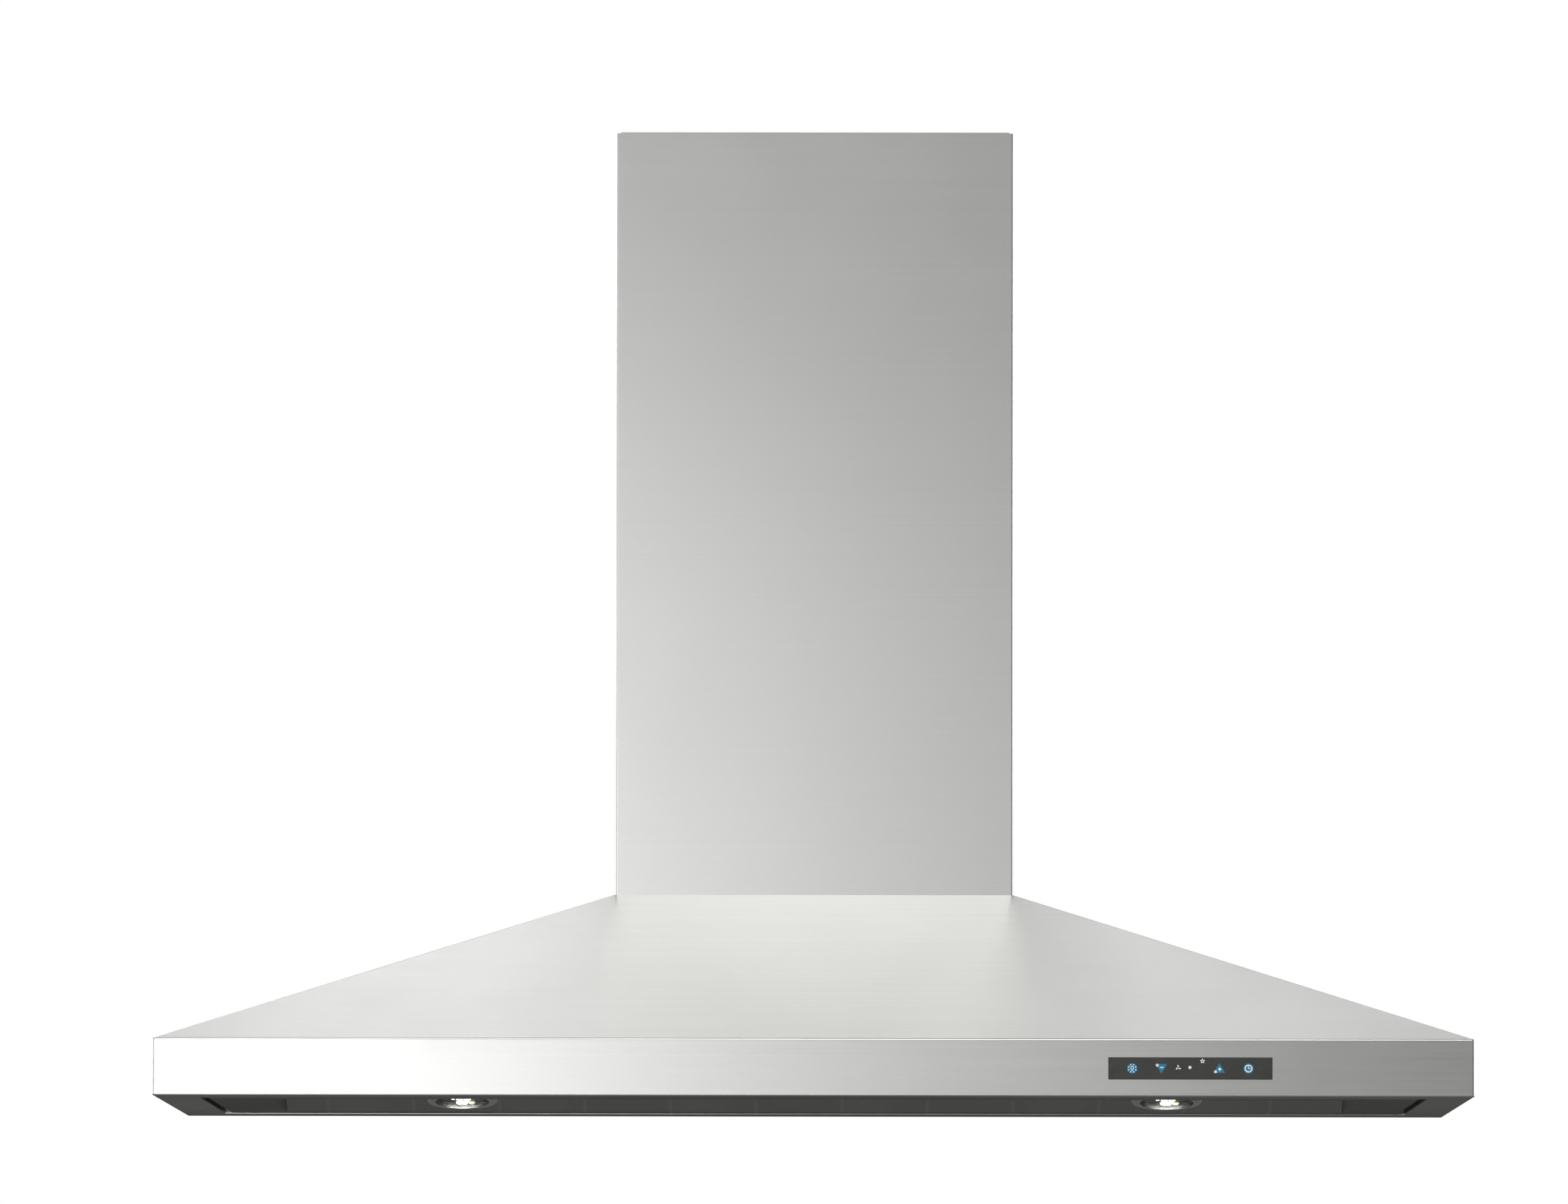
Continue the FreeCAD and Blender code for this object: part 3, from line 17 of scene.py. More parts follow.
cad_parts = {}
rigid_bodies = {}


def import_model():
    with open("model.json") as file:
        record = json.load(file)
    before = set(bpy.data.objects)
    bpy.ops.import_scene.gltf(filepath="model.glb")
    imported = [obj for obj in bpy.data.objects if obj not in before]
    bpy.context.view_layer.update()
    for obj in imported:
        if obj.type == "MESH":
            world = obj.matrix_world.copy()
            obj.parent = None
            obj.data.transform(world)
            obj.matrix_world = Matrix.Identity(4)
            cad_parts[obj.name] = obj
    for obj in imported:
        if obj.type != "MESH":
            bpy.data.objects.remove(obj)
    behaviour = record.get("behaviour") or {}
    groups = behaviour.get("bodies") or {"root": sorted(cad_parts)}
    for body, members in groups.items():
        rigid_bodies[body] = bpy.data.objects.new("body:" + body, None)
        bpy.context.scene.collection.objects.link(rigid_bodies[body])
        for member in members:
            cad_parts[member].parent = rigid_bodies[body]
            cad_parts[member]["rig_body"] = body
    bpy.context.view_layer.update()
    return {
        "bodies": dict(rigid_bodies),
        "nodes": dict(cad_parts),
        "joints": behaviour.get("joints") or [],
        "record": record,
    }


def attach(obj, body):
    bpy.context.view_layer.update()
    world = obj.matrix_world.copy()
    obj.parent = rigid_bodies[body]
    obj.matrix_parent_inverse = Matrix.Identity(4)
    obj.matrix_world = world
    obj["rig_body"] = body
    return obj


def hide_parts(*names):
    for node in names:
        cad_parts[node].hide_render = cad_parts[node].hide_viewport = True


LOG = logging.getLogger("range_hood")

Colour = tuple[float, float, float]
Point = tuple[float, float, float]

RIM_BOTTOM = -0.798
FACE_Y = -0.350


# ---------------------------------------------------------------- shader maths
class Wire:
    """One output socket, with arithmetic that adds Math nodes."""

    def __init__(self, sheet: "ShaderSheet", socket: bpy.types.NodeSocket) -> None:
        """Keep the socket and the sheet it belongs to.

        Args:
            sheet: The material being drawn up.
            socket: The output that this wire starts from.
        """
        self.sheet = sheet
        self.socket = socket

    def _maths(self, operation: str, first: "Value", second: "Value" = 0.0) -> "Wire":
        """Add a Math node.

        Args:
            operation: Name of the Math node's operation.
            first: Its first value.
            second: Its second value.

        Returns:
            The node's result.
        """
        return self.sheet.add("ShaderNodeMath", {"operation": operation}, {0: first, 1: second})

    def __add__(self, other: "Value") -> "Wire":
        """Sum."""
        return self._maths("ADD", self, other)

    def __radd__(self, other: "Value") -> "Wire":
        """Sum, reflected."""
        return self._maths("ADD", other, self)

    def __sub__(self, other: "Value") -> "Wire":
        """Difference."""
        return self._maths("SUBTRACT", self, other)

    def __rsub__(self, other: "Value") -> "Wire":
        """Difference, reflected."""
        return self._maths("SUBTRACT", other, self)

    def __mul__(self, other: "Value") -> "Wire":
        """Product."""
        return self._maths("MULTIPLY", self, other)

    def __rmul__(self, other: "Value") -> "Wire":
        """Product, reflected."""
        return self._maths("MULTIPLY", other, self)

    def __truediv__(self, other: "Value") -> "Wire":
        """Quotient."""
        return self._maths("DIVIDE", self, other)

    def __rtruediv__(self, other: "Value") -> "Wire":
        """Quotient, reflected."""
        return self._maths("DIVIDE", other, self)

    def __pow__(self, other: "Value") -> "Wire":
        """Power."""
        return self._maths("POWER", self, other)

    def __rpow__(self, other: "Value") -> "Wire":
        """Power, reflected."""
        return self._maths("POWER", other, self)

    def __abs__(self) -> "Wire":
        """Size without its sign."""
        return self._maths("ABSOLUTE", self)

    def __lt__(self, other: "Value") -> "Wire":
        """One where this wire is below the other value, else zero."""
        return self._maths("LESS_THAN", self, other)

    def fraction(self) -> "Wire":
        """Part after the decimal point."""
        return self._maths("FRACT", self)

    def ramp(self, low: float, high: float) -> "Wire":
        """Zero at low, one at high, clamped and straight between.

        Args:
            low: Value that gives zero.
            high: Value that gives one.

        Returns:
            The ramped value.
        """
        return self.sheet.add("ShaderNodeMapRange", {"clamp": True}, {0: self, 1: low, 2: high})


Value = Union[float, Wire]


class ShaderSheet:
    """Node tree of one material, with one way to add any node."""

    def __init__(self, name: str) -> None:
        """Start an empty material.

        Args:
            name: Name of the material.
        """
        self.material = bpy.data.materials.new(name)
        self.material.use_nodes = True
        self.tree = self.material.node_tree
        self.tree.nodes.clear()
        self.place = self.add("ShaderNodeTexCoord", output="Object")
        self.facing = Wire(self, self.place.socket.node.outputs["Normal"])

    def add(
        self,
        kind: str,
        settings: dict[str, object] | None = None,
        sockets: dict[int | str, object] | None = None,
        output: int | str = 0,
    ) -> Wire:
        """Add a node: its settings first, then the values or links of its sockets.

        Args:
            kind: The node's type.
            settings: Attributes of the node.
            sockets: Value or wire for each input, by place or name.
            output: The output to hand back.

        Returns:
            The chosen output.
        """
        node = self.tree.nodes.new(kind)
        for key, value in (settings or {}).items():
            setattr(node, key, value)
        for key, value in (sockets or {}).items():
            if isinstance(value, Wire):
                self.tree.links.new(value.socket, node.inputs[key])
            else:
                node.inputs[key].default_value = value
        return Wire(self, node.outputs[output])

    def stretched(self, scale: Point) -> Wire:
        """Object position stretched along its axes.

        Args:
            scale: Factor for each axis.

        Returns:
            The stretched position.
        """
        return self.add("ShaderNodeVectorMath", {"operation": "MULTIPLY"}, {0: self.place, 1: scale})

    def axes(self, vector: Wire) -> tuple[Wire, Wire, Wire]:
        """The three parts of a vector.

        Args:
            vector: The vector to split.

        Returns:
            Its x, y and z.
        """
        x = self.add("ShaderNodeSeparateXYZ", None, {0: vector})
        _, y, z = x.socket.node.outputs
        return x, Wire(self, y), Wire(self, z)

    def noise(self, vector: Wire, scale: float, detail: float = 2.0, rough: float = 0.5) -> Wire:
        """Noise between zero and one.

        Args:
            vector: Position to read it at.
            scale: Its fineness.
            detail: Octaves.
            rough: Strength of the finer octaves.

        Returns:
            The noise value.
        """
        sockets = {"Vector": vector, "Scale": scale, "Detail": detail, "Roughness": rough}
        return self.add("ShaderNodeTexNoise", {"noise_dimensions": "3D"}, sockets, "Fac")

    def blend_vector(self, mask: Value, first: Wire, second: Wire) -> Wire:
        """Vector mixed by a mask.

        Args:
            mask: Zero for the first, one for the second.
            first: Vector at zero.
            second: Vector at one.

        Returns:
            The mixed vector.
        """
        return self.add("ShaderNodeMix", {"data_type": "VECTOR"}, {0: mask, 4: first, 5: second}, 1)

    def blend(self, mask: Value, first: object, second: object) -> Wire:
        """Colour mixed by a mask.

        Args:
            mask: Zero for the first, one for the second.
            first: Colour at zero.
            second: Colour at one.

        Returns:
            The mixed colour.
        """
        settings = {"data_type": "RGBA", "blend_type": "MIX", "clamp_factor": True}
        first = first if isinstance(first, Wire) else (*first, 1.0)
        second = second if isinstance(second, Wire) else (*second, 1.0)
        return self.add("ShaderNodeMix", settings, {0: mask, 6: first, 7: second}, 2)

    def bump(self, height: Wire, strength: float, distance: float) -> Wire:
        """Normal bent by a height.

        Args:
            height: Height between zero and one.
            strength: How far the normal is bent.
            distance: Height in metres of a full step.

        Returns:
            The bent normal.
        """
        sockets = {"Strength": strength, "Distance": distance, "Height": height}
        return self.add("ShaderNodeBump", None, sockets)

    def close(self, sockets: dict[int | str, object]) -> bpy.types.Material:
        """End the material in one Principled shader.

        Args:
            sockets: Values or wires for the shader.

        Returns:
            The finished material.
        """
        shader = self.add("ShaderNodeBsdfPrincipled", None, sockets)
        self.add_output(shader)
        return self.material

    def add_output(self, shader: Wire) -> None:
        """Link a shader to the material's output.

        Args:
            shader: The shader that the surface shows.
        """
        node = self.tree.nodes.new("ShaderNodeOutputMaterial")
        self.tree.links.new(shader.socket, node.inputs["Surface"])


def shade(colour: Colour, factor: float) -> Colour:
    """Colour times a factor, kept below one."""
    return tuple(min(1.0, part * factor) for part in colour)


# ---------------------------------------------------------------- finishes
class Polish(Enum):
    """How fine a sheet's brush lines are: lines per metre across the grain."""

    SATIN = 520.0
    FINE = 760.0
    BRIGHT = 1100.0


@dataclass(frozen=True)
class BrushedSteel:
    """Stainless sheet, brushed along its horizontal edges, with painted shade on the faces that look down.

    Args:
        name: Material name.
        tint: Base colour.
        roughness: Mean roughness.
        polish: Fineness of the brush lines.
        contrast: Strength of the lines in colour and roughness.
        painted_shade_below: Brightness of faces that look down: painted shade for the dark surroundings
            they reflect.
    """

    name: str = "brushed_steel"
    tint: Colour = (0.80, 0.805, 0.785)
    roughness: float = 0.36
    polish: Polish = Polish.FINE
    contrast: float = 1.0
    painted_shade_below: float = 0.62

    def material(self) -> bpy.types.Material:
        """Draw up the material.

        Returns:
            The finished material.
        """
        sheet = ShaderSheet(self.name)
        lines = self.polish.value
        _, _, up = sheet.axes(sheet.facing)
        level = abs(up).ramp(0.86, 0.94)
        # Mask of the faces that look down, which get the painted shade.
        shaded = 1.0 - up.ramp(-0.95, -0.85)
        upright_run = sheet.stretched((2.5, 2.5, lines))
        level_run = sheet.stretched((2.5, lines, 2.5))
        run = sheet.blend_vector(level, upright_run, level_run)
        streaks = sheet.noise(run, 1.0, 3.0, 0.65)
        multiply = {"operation": "MULTIPLY"}
        fine_run = sheet.add("ShaderNodeVectorMath", multiply, {0: run, 1: (9.0, 9.0, 2.7)})
        hairs = sheet.noise(fine_run, 1.0, 1.0, 0.5)
        clouds = sheet.noise(sheet.place, 3.2, 2.0, 0.45)
        rub = sheet.noise(sheet.place, 14.0, 4.0, 0.6)
        grain = streaks * 0.65 + hairs * 0.35
        swing = 0.05 * self.contrast
        dark, pale = shade(self.tint, 1 - swing), shade(self.tint, 1 + swing)
        colour = sheet.blend(grain.ramp(0.25, 0.75), dark, pale)
        cloudy = sheet.blend(clouds.ramp(0.35, 0.7) * 0.35, colour, shade(self.tint, 0.965))
        # Painted shade: faces that look down take a darker colour, for the dark surroundings they reflect.
        with_painted_shade = sheet.blend(shaded, cloudy, shade(self.tint, self.painted_shade_below))
        spread = (grain - 0.5) * (0.16 * self.contrast)
        rough = spread + (clouds - 0.5) * 0.06 + (rub - 0.5) * 0.04 + self.roughness
        normal = sheet.bump(grain, 0.10 * self.contrast, 0.0002)
        return sheet.close({
            "Base Color": with_painted_shade, "Metallic": 1.0, "Roughness": rough,
            "Normal": normal, "Anisotropic": 0.45,
        })


@dataclass(frozen=True)
class PanelSteel:
    """Thin underside sheet: darker as painted shade, with faint press lines painted lighter as reflections
    and soft painted dark reflections between them.

    Args:
        name: Material name.
        tint: Base colour, darkened as painted shade.
        roughness: Mean roughness.
        line_pitch: Distance between press lines, whose lighter colour is a painted reflection, in metres.
        line_width: Share of the pitch that a line takes.
    """

    name: str = "panel_steel"
    # Dark tint: painted shade, for the dark surroundings that the underside reflects.
    tint: Colour = (0.33, 0.332, 0.325)
    roughness: float = 0.34
    line_pitch: float = 0.072
    line_width: float = 0.028

    def material(self) -> bpy.types.Material:
        """Draw up the material.

        Returns:
            The finished material.
        """
        sheet = ShaderSheet(self.name)
        x, y, _ = sheet.axes(sheet.place)
        run = sheet.stretched((3.0, 640.0, 3.0))
        grain = sheet.noise(run, 1.0, 3.0, 0.6)
        # Press lines: a crease in the bump, and a painted reflection in the colour.
        step = (x / self.line_pitch + 100.18).fraction()
        line = 1.0 - abs(step - 0.5).ramp(0.0, self.line_width)
        within = abs(x) < 0.44
        wobble = sheet.noise(sheet.place, 9.0, 1.0, 0.4)
        # Soft dark patches between the press lines: painted reflection.
        painted_reflection_step = (x / (self.line_pitch * 2.0) + wobble * 0.3 + 50.0).fraction()
        painted_dark_reflection = abs(painted_reflection_step - 0.5).ramp(0.12, 0.2) * abs(y).ramp(0.10, 0.19)
        clouds = sheet.noise(sheet.place, 6.0, 3.0, 0.5)
        base = sheet.blend(grain.ramp(0.2, 0.8), shade(self.tint, 0.95), shade(self.tint, 1.05))
        # Painted reflection: the dark patches.
        with_painted_shade = sheet.blend(painted_dark_reflection * 0.30, base, shade(self.tint, 0.72))
        # Painted reflection: the lighter press lines.
        lit = sheet.blend(line * within * 0.55, with_painted_shade, shade(self.tint, 1.45))
        rough = (grain - 0.5) * 0.12 + (clouds - 0.5) * 0.12 + self.roughness
        height = grain * 0.3 + line * 0.7
        return sheet.close({
            "Base Color": lit, "Metallic": 1.0, "Roughness": rough,
            "Normal": sheet.bump(height, 0.12, 0.0002),
        })


@dataclass(frozen=True)
class Galvanised:
    """Zinc-coated sheet with its patchwork of crystals.

    Args:
        name: Material name.
        tint: Base colour.
        crystals: Crystals per metre.
    """

    name: str = "galvanised"
    tint: Colour = (0.58, 0.60, 0.61)
    crystals: float = 90.0

    def material(self) -> bpy.types.Material:
        """Draw up the material.

        Returns:
            The finished material.
        """
        sheet = ShaderSheet(self.name)
        sockets = {"Vector": sheet.place, "Scale": self.crystals}
        cells = sheet.add("ShaderNodeTexVoronoi", {"feature": "F1"}, sockets, "Color")
        tone, other, _ = sheet.axes(cells)
        clouds = sheet.noise(sheet.place, 8.0, 3.0, 0.55)
        colour = sheet.blend(tone, shade(self.tint, 0.86), shade(self.tint, 1.12))
        dusty = sheet.blend(clouds.ramp(0.4, 0.75) * 0.4, colour, (0.47, 0.48, 0.48))
        rough = other * 0.16 + (clouds - 0.5) * 0.15 + 0.36
        return sheet.close({
            "Base Color": dusty, "Metallic": 0.85, "Roughness": rough,
            "Normal": sheet.bump(tone, 0.08, 0.0003),
        })


@dataclass(frozen=True)
class BaffleSteel:
    """Polished filter steel with grain along the channels and a trace of grease in the roughness.

    Args:
        name: Material name.
        tint: Base colour.
        roughness: Mean roughness.
    """

    name: str = "baffle_steel"
    tint: Colour = (0.66, 0.66, 0.65)
    roughness: float = 0.24

    def material(self) -> bpy.types.Material:
        """Draw up the material.

        Returns:
            The finished material.
        """
        sheet = ShaderSheet(self.name)
        grain = sheet.noise(sheet.stretched((700.0, 4.0, 120.0)), 1.0, 2.0, 0.5)
        film = sheet.noise(sheet.place, 18.0, 4.0, 0.6)
        colour = sheet.blend(grain.ramp(0.25, 0.75), shade(self.tint, 0.93), shade(self.tint, 1.05))
        warm = sheet.blend(film.ramp(0.5, 0.8) * 0.25, colour, (0.60, 0.57, 0.52))
        rough = (grain - 0.5) * 0.10 + film.ramp(0.4, 0.8) * 0.14 + self.roughness
        return sheet.close({
            "Base Color": warm, "Metallic": 1.0, "Roughness": rough,
            "Normal": sheet.bump(grain, 0.06, 0.0002),
        })


@dataclass(frozen=True)
class Chrome:
    """Plated metal with hair scratches.

    Args:
        name: Material name.
        tint: Base colour.
        roughness: Mean roughness.
    """

    name: str = "chrome"
    tint: Colour = (0.78, 0.78, 0.775)
    roughness: float = 0.12

    def material(self) -> bpy.types.Material:
        """Draw up the material.

        Returns:
            The finished material.
        """
        sheet = ShaderSheet(self.name)
        scratches = sheet.noise(sheet.stretched((60.0, 900.0, 500.0)), 1.0, 2.0, 0.6)
        haze = sheet.noise(sheet.place, 120.0, 2.0, 0.5)
        colour = sheet.blend(haze.ramp(0.35, 0.75) * 0.4, self.tint, shade(self.tint, 0.86))
        rough = (scratches.ramp(0.55, 0.8)) * 0.12 + haze * 0.06 + self.roughness
        return sheet.close({
            "Base Color": colour, "Metallic": 1.0, "Roughness": rough,
            "Normal": sheet.bump(scratches, 0.04, 0.0001),
        })


@dataclass(frozen=True)
class KeyGlass:
    """Smoked glass of the key strip, with fingerprints in its gloss.

    Args:
        name: Material name.
        tint: Base colour.
    """

    name: str = "key_glass"
    tint: Colour = (0.079, 0.079, 0.076)

    def material(self) -> bpy.types.Material:
        """Draw up the material.

        Returns:
            The finished material.
        """
        sheet = ShaderSheet(self.name)
        smear = sheet.noise(sheet.stretched((60.0, 60.0, 130.0)), 1.0, 3.0, 0.55)
        specks = sheet.noise(sheet.place, 1500.0, 1.0, 0.5)
        colour = sheet.blend(smear.ramp(0.35, 0.8), self.tint, shade(self.tint, 1.25))
        rough = smear.ramp(0.3, 0.8) * 0.14 + 0.16
        return sheet.close({
            "Base Color": colour, "Roughness": rough, "IOR": 1.5,
            "Coat Weight": 0.4, "Coat Roughness": 0.08,
            "Normal": sheet.bump(specks, 0.02, 0.0001),
        })


@dataclass(frozen=True)
class KeyEnamel:
    """Printed enamel of the key marks, with a painted glow.

    Args:
        name: Material name.
        tint: Printed colour.
        glow: Strength of its painted glow.
    """

    name: str
    tint: Colour
    glow: float

    def material(self) -> bpy.types.Material:
        """Draw up the material.

        Returns:
            The finished material.
        """
        sheet = ShaderSheet(self.name)
        dots = sheet.noise(sheet.place, 2600.0, 2.0, 0.5)
        wear = sheet.noise(sheet.place, 420.0, 2.0, 0.5)
        colour = sheet.blend(dots.ramp(0.3, 0.7), shade(self.tint, 0.9), shade(self.tint, 1.08))
        worn = sheet.blend(wear.ramp(0.62, 0.8) * 0.4, colour, shade(self.tint, 0.7))
        # Painted glow: the printed colour is also emitted, though the keys are no lamp.
        return sheet.close({
            "Base Color": worn, "Roughness": wear * 0.2 + 0.3, "Emission Color": worn,
            "Emission Strength": self.glow, "Normal": sheet.bump(dots, 0.05, 0.00005),
        })


@dataclass(frozen=True)
class LensGlass:
    """Clear lamp lens with faint moulded rings.

    Args:
        name: Material name.
        clearness: Share of light let straight through.
    """

    name: str = "lens_glass"
    clearness: float = 0.72

    def material(self) -> bpy.types.Material:
        """Draw up the material.

        Returns:
            The finished material.
        """
        sheet = ShaderSheet(self.name)
        frost = sheet.noise(sheet.place, 900.0, 2.0, 0.5)
        colour = sheet.blend(frost.ramp(0.3, 0.7), (0.20, 0.20, 0.195), (0.27, 0.27, 0.26))
        cover = frost * 0.16 + (1 - self.clearness - 0.08)
        return sheet.close({
            "Base Color": colour, "Roughness": frost * 0.2 + 0.10, "IOR": 1.5, "Alpha": cover,
            "Normal": sheet.bump(frost, 0.05, 0.0001),
        })


@dataclass(frozen=True)
class LampBoard:
    """White board around the light-emitting chips, darkened as painted shade, with a painted glow that is
    brightest near them.

    Args:
        name: Material name.
        tint: Board colour, darkened as painted shade.
        glow: Strength of its painted glow.
    """

    name: str = "lamp_board"
    # Dark tint for a white board: painted shade of the lamp's dark inside.
    tint: Colour = (0.20, 0.20, 0.19)
    glow: float = 0.10

    def material(self) -> bpy.types.Material:
        """Draw up the material.

        Returns:
            The finished material.
        """
        sheet = ShaderSheet(self.name)
        ink = sheet.noise(sheet.place, 1400.0, 2.0, 0.5)
        x, y, _ = sheet.axes(sheet.place)
        # Painted glow: a pool of the chips' light painted on the board as emission, brightest near them.
        across = abs(x) - 0.2956
        along = abs(y) - 0.169
        away = (across * across + along * along) ** 0.5
        near = 1.0 - away.ramp(0.004, 0.022)
        colour = sheet.blend(ink.ramp(0.3, 0.7), shade(self.tint, 0.93), self.tint)
        glow = sheet.blend(near, (0.05, 0.05, 0.045), (1.0, 0.97, 0.88))
        return sheet.close({
            "Base Color": colour, "Roughness": ink * 0.2 + 0.4, "Emission Color": glow,
            "Emission Strength": self.glow, "Normal": sheet.bump(ink, 0.05, 0.0001),
        })


@dataclass(frozen=True)
class LampDome:
    """Silicone dome over a lit chip.

    Args:
        name: Material name.
        light: Colour of its light.
        glow: Strength of its emission.
    """

    name: str
    light: Colour
    glow: float

    def material(self) -> bpy.types.Material:
        """Draw up the material.

        Returns:
            The finished material.
        """
        sheet = ShaderSheet(self.name)
        haze = sheet.noise(sheet.place, 700.0, 2.0, 0.5)
        light = sheet.blend(haze.ramp(0.3, 0.7), shade(self.light, 0.94), self.light)
        return sheet.close({
            "Base Color": light, "Roughness": haze * 0.1 + 0.15, "Emission Color": light,
            "Emission Strength": self.glow, "Normal": sheet.bump(haze, 0.04, 0.0001),
        })


@dataclass(frozen=True)
class MouldedPlastic:
    """Injection-moulded plastic with a spark-eroded grain.

    Args:
        name: Material name.
        tint: Base colour.
        roughness: Mean roughness.
    """

    name: str
    tint: Colour
    roughness: float = 0.45

    def material(self) -> bpy.types.Material:
        """Draw up the material.

        Returns:
            The finished material.
        """
        sheet = ShaderSheet(self.name)
        grain = sheet.noise(sheet.place, 2200.0, 2.0, 0.6)
        flow = sheet.noise(sheet.place, 22.0, 3.0, 0.5)
        colour = sheet.blend(flow.ramp(0.3, 0.7), shade(self.tint, 0.9), shade(self.tint, 1.12))
        rough = (grain - 0.5) * 0.2 + (flow - 0.5) * 0.1 + self.roughness
        return sheet.close({
            "Base Color": colour, "Roughness": rough, "Normal": sheet.bump(grain, 0.12, 0.0001),
        })


@dataclass(frozen=True)
class MotorPaint:
    """Dark stoved paint with orange peel and dust.

    Args:
        name: Material name.
        tint: Base colour.
    """

    name: str = "motor_paint"
    tint: Colour = (0.045, 0.048, 0.052)

    def material(self) -> bpy.types.Material:
        """Draw up the material.

        Returns:
            The finished material.
        """
        sheet = ShaderSheet(self.name)
        peel = sheet.noise(sheet.place, 480.0, 2.0, 0.5)
        dust = sheet.noise(sheet.place, 35.0, 4.0, 0.6)
        colour = sheet.blend(dust.ramp(0.5, 0.8) * 0.4, self.tint, (0.16, 0.155, 0.15))
        rough = dust.ramp(0.4, 0.8) * 0.25 + 0.32
        return sheet.close({
            "Base Color": colour, "Metallic": 0.15, "Roughness": rough,
            "Normal": sheet.bump(peel, 0.15, 0.0002),
        })


@dataclass(frozen=True)
class CastAluminium:
    """Bare die-cast aluminium.

    Args:
        name: Material name.
        tint: Base colour.
    """

    name: str = "cast_aluminium"
    tint: Colour = (0.66, 0.665, 0.67)

    def material(self) -> bpy.types.Material:
        """Draw up the material.

        Returns:
            The finished material.
        """
        sheet = ShaderSheet(self.name)
        pits = sheet.noise(sheet.place, 900.0, 3.0, 0.6)
        flow = sheet.noise(sheet.place, 40.0, 2.0, 0.5)
        colour = sheet.blend(flow.ramp(0.3, 0.7), shade(self.tint, 0.88), shade(self.tint, 1.06))
        rough = (pits - 0.5) * 0.2 + 0.46
        return sheet.close({
            "Base Color": colour, "Metallic": 0.95, "Roughness": rough,
            "Normal": sheet.bump(pits, 0.15, 0.0002),
        })


@dataclass(frozen=True)
class CircuitBoard:
    """Green board with copper tracks showing through the mask.

    Args:
        name: Material name.
        tint: Solder-mask colour.
        tracks: Tracks per metre.
    """

    name: str = "circuit_board"
    tint: Colour = (0.012, 0.085, 0.035)
    tracks: float = 260.0

    def material(self) -> bpy.types.Material:
        """Draw up the material.

        Returns:
            The finished material.
        """
        sheet = ShaderSheet(self.name)
        sockets = {"Vector": sheet.place, "Scale": self.tracks}
        cells = sheet.add("ShaderNodeTexVoronoi", {"feature": "DISTANCE_TO_EDGE"}, sockets)
        track = 1.0 - cells.ramp(0.04, 0.08)
        fleck = sheet.noise(sheet.place, 600.0, 2.0, 0.5)
        base = sheet.blend(fleck.ramp(0.3, 0.7), shade(self.tint, 0.85), shade(self.tint, 1.2))
        colour = sheet.blend(track * 0.6, base, (0.05, 0.19, 0.07))
        return sheet.close({
            "Base Color": colour, "Roughness": fleck * 0.15 + 0.25,
            "Normal": sheet.bump(track, 0.2, 0.0001),
        })


@dataclass(frozen=True)
class CableSheath:
    """Grey cable sheath with a drawn surface.

    Args:
        name: Material name.
        tint: Base colour.
    """

    name: str = "cable_sheath"
    tint: Colour = (0.17, 0.17, 0.165)

    def material(self) -> bpy.types.Material:
        """Draw up the material.

        Returns:
            The finished material.
        """
        sheet = ShaderSheet(self.name)
        drawn = sheet.noise(sheet.place, 260.0, 3.0, 0.6)
        talc = sheet.noise(sheet.place, 30.0, 3.0, 0.55)
        colour = sheet.blend(talc.ramp(0.45, 0.8) * 0.5, self.tint, shade(self.tint, 1.6))
        rough = (drawn - 0.5) * 0.2 + 0.55
        return sheet.close({
            "Base Color": colour, "Roughness": rough, "Normal": sheet.bump(drawn, 0.1, 0.0002),
        })


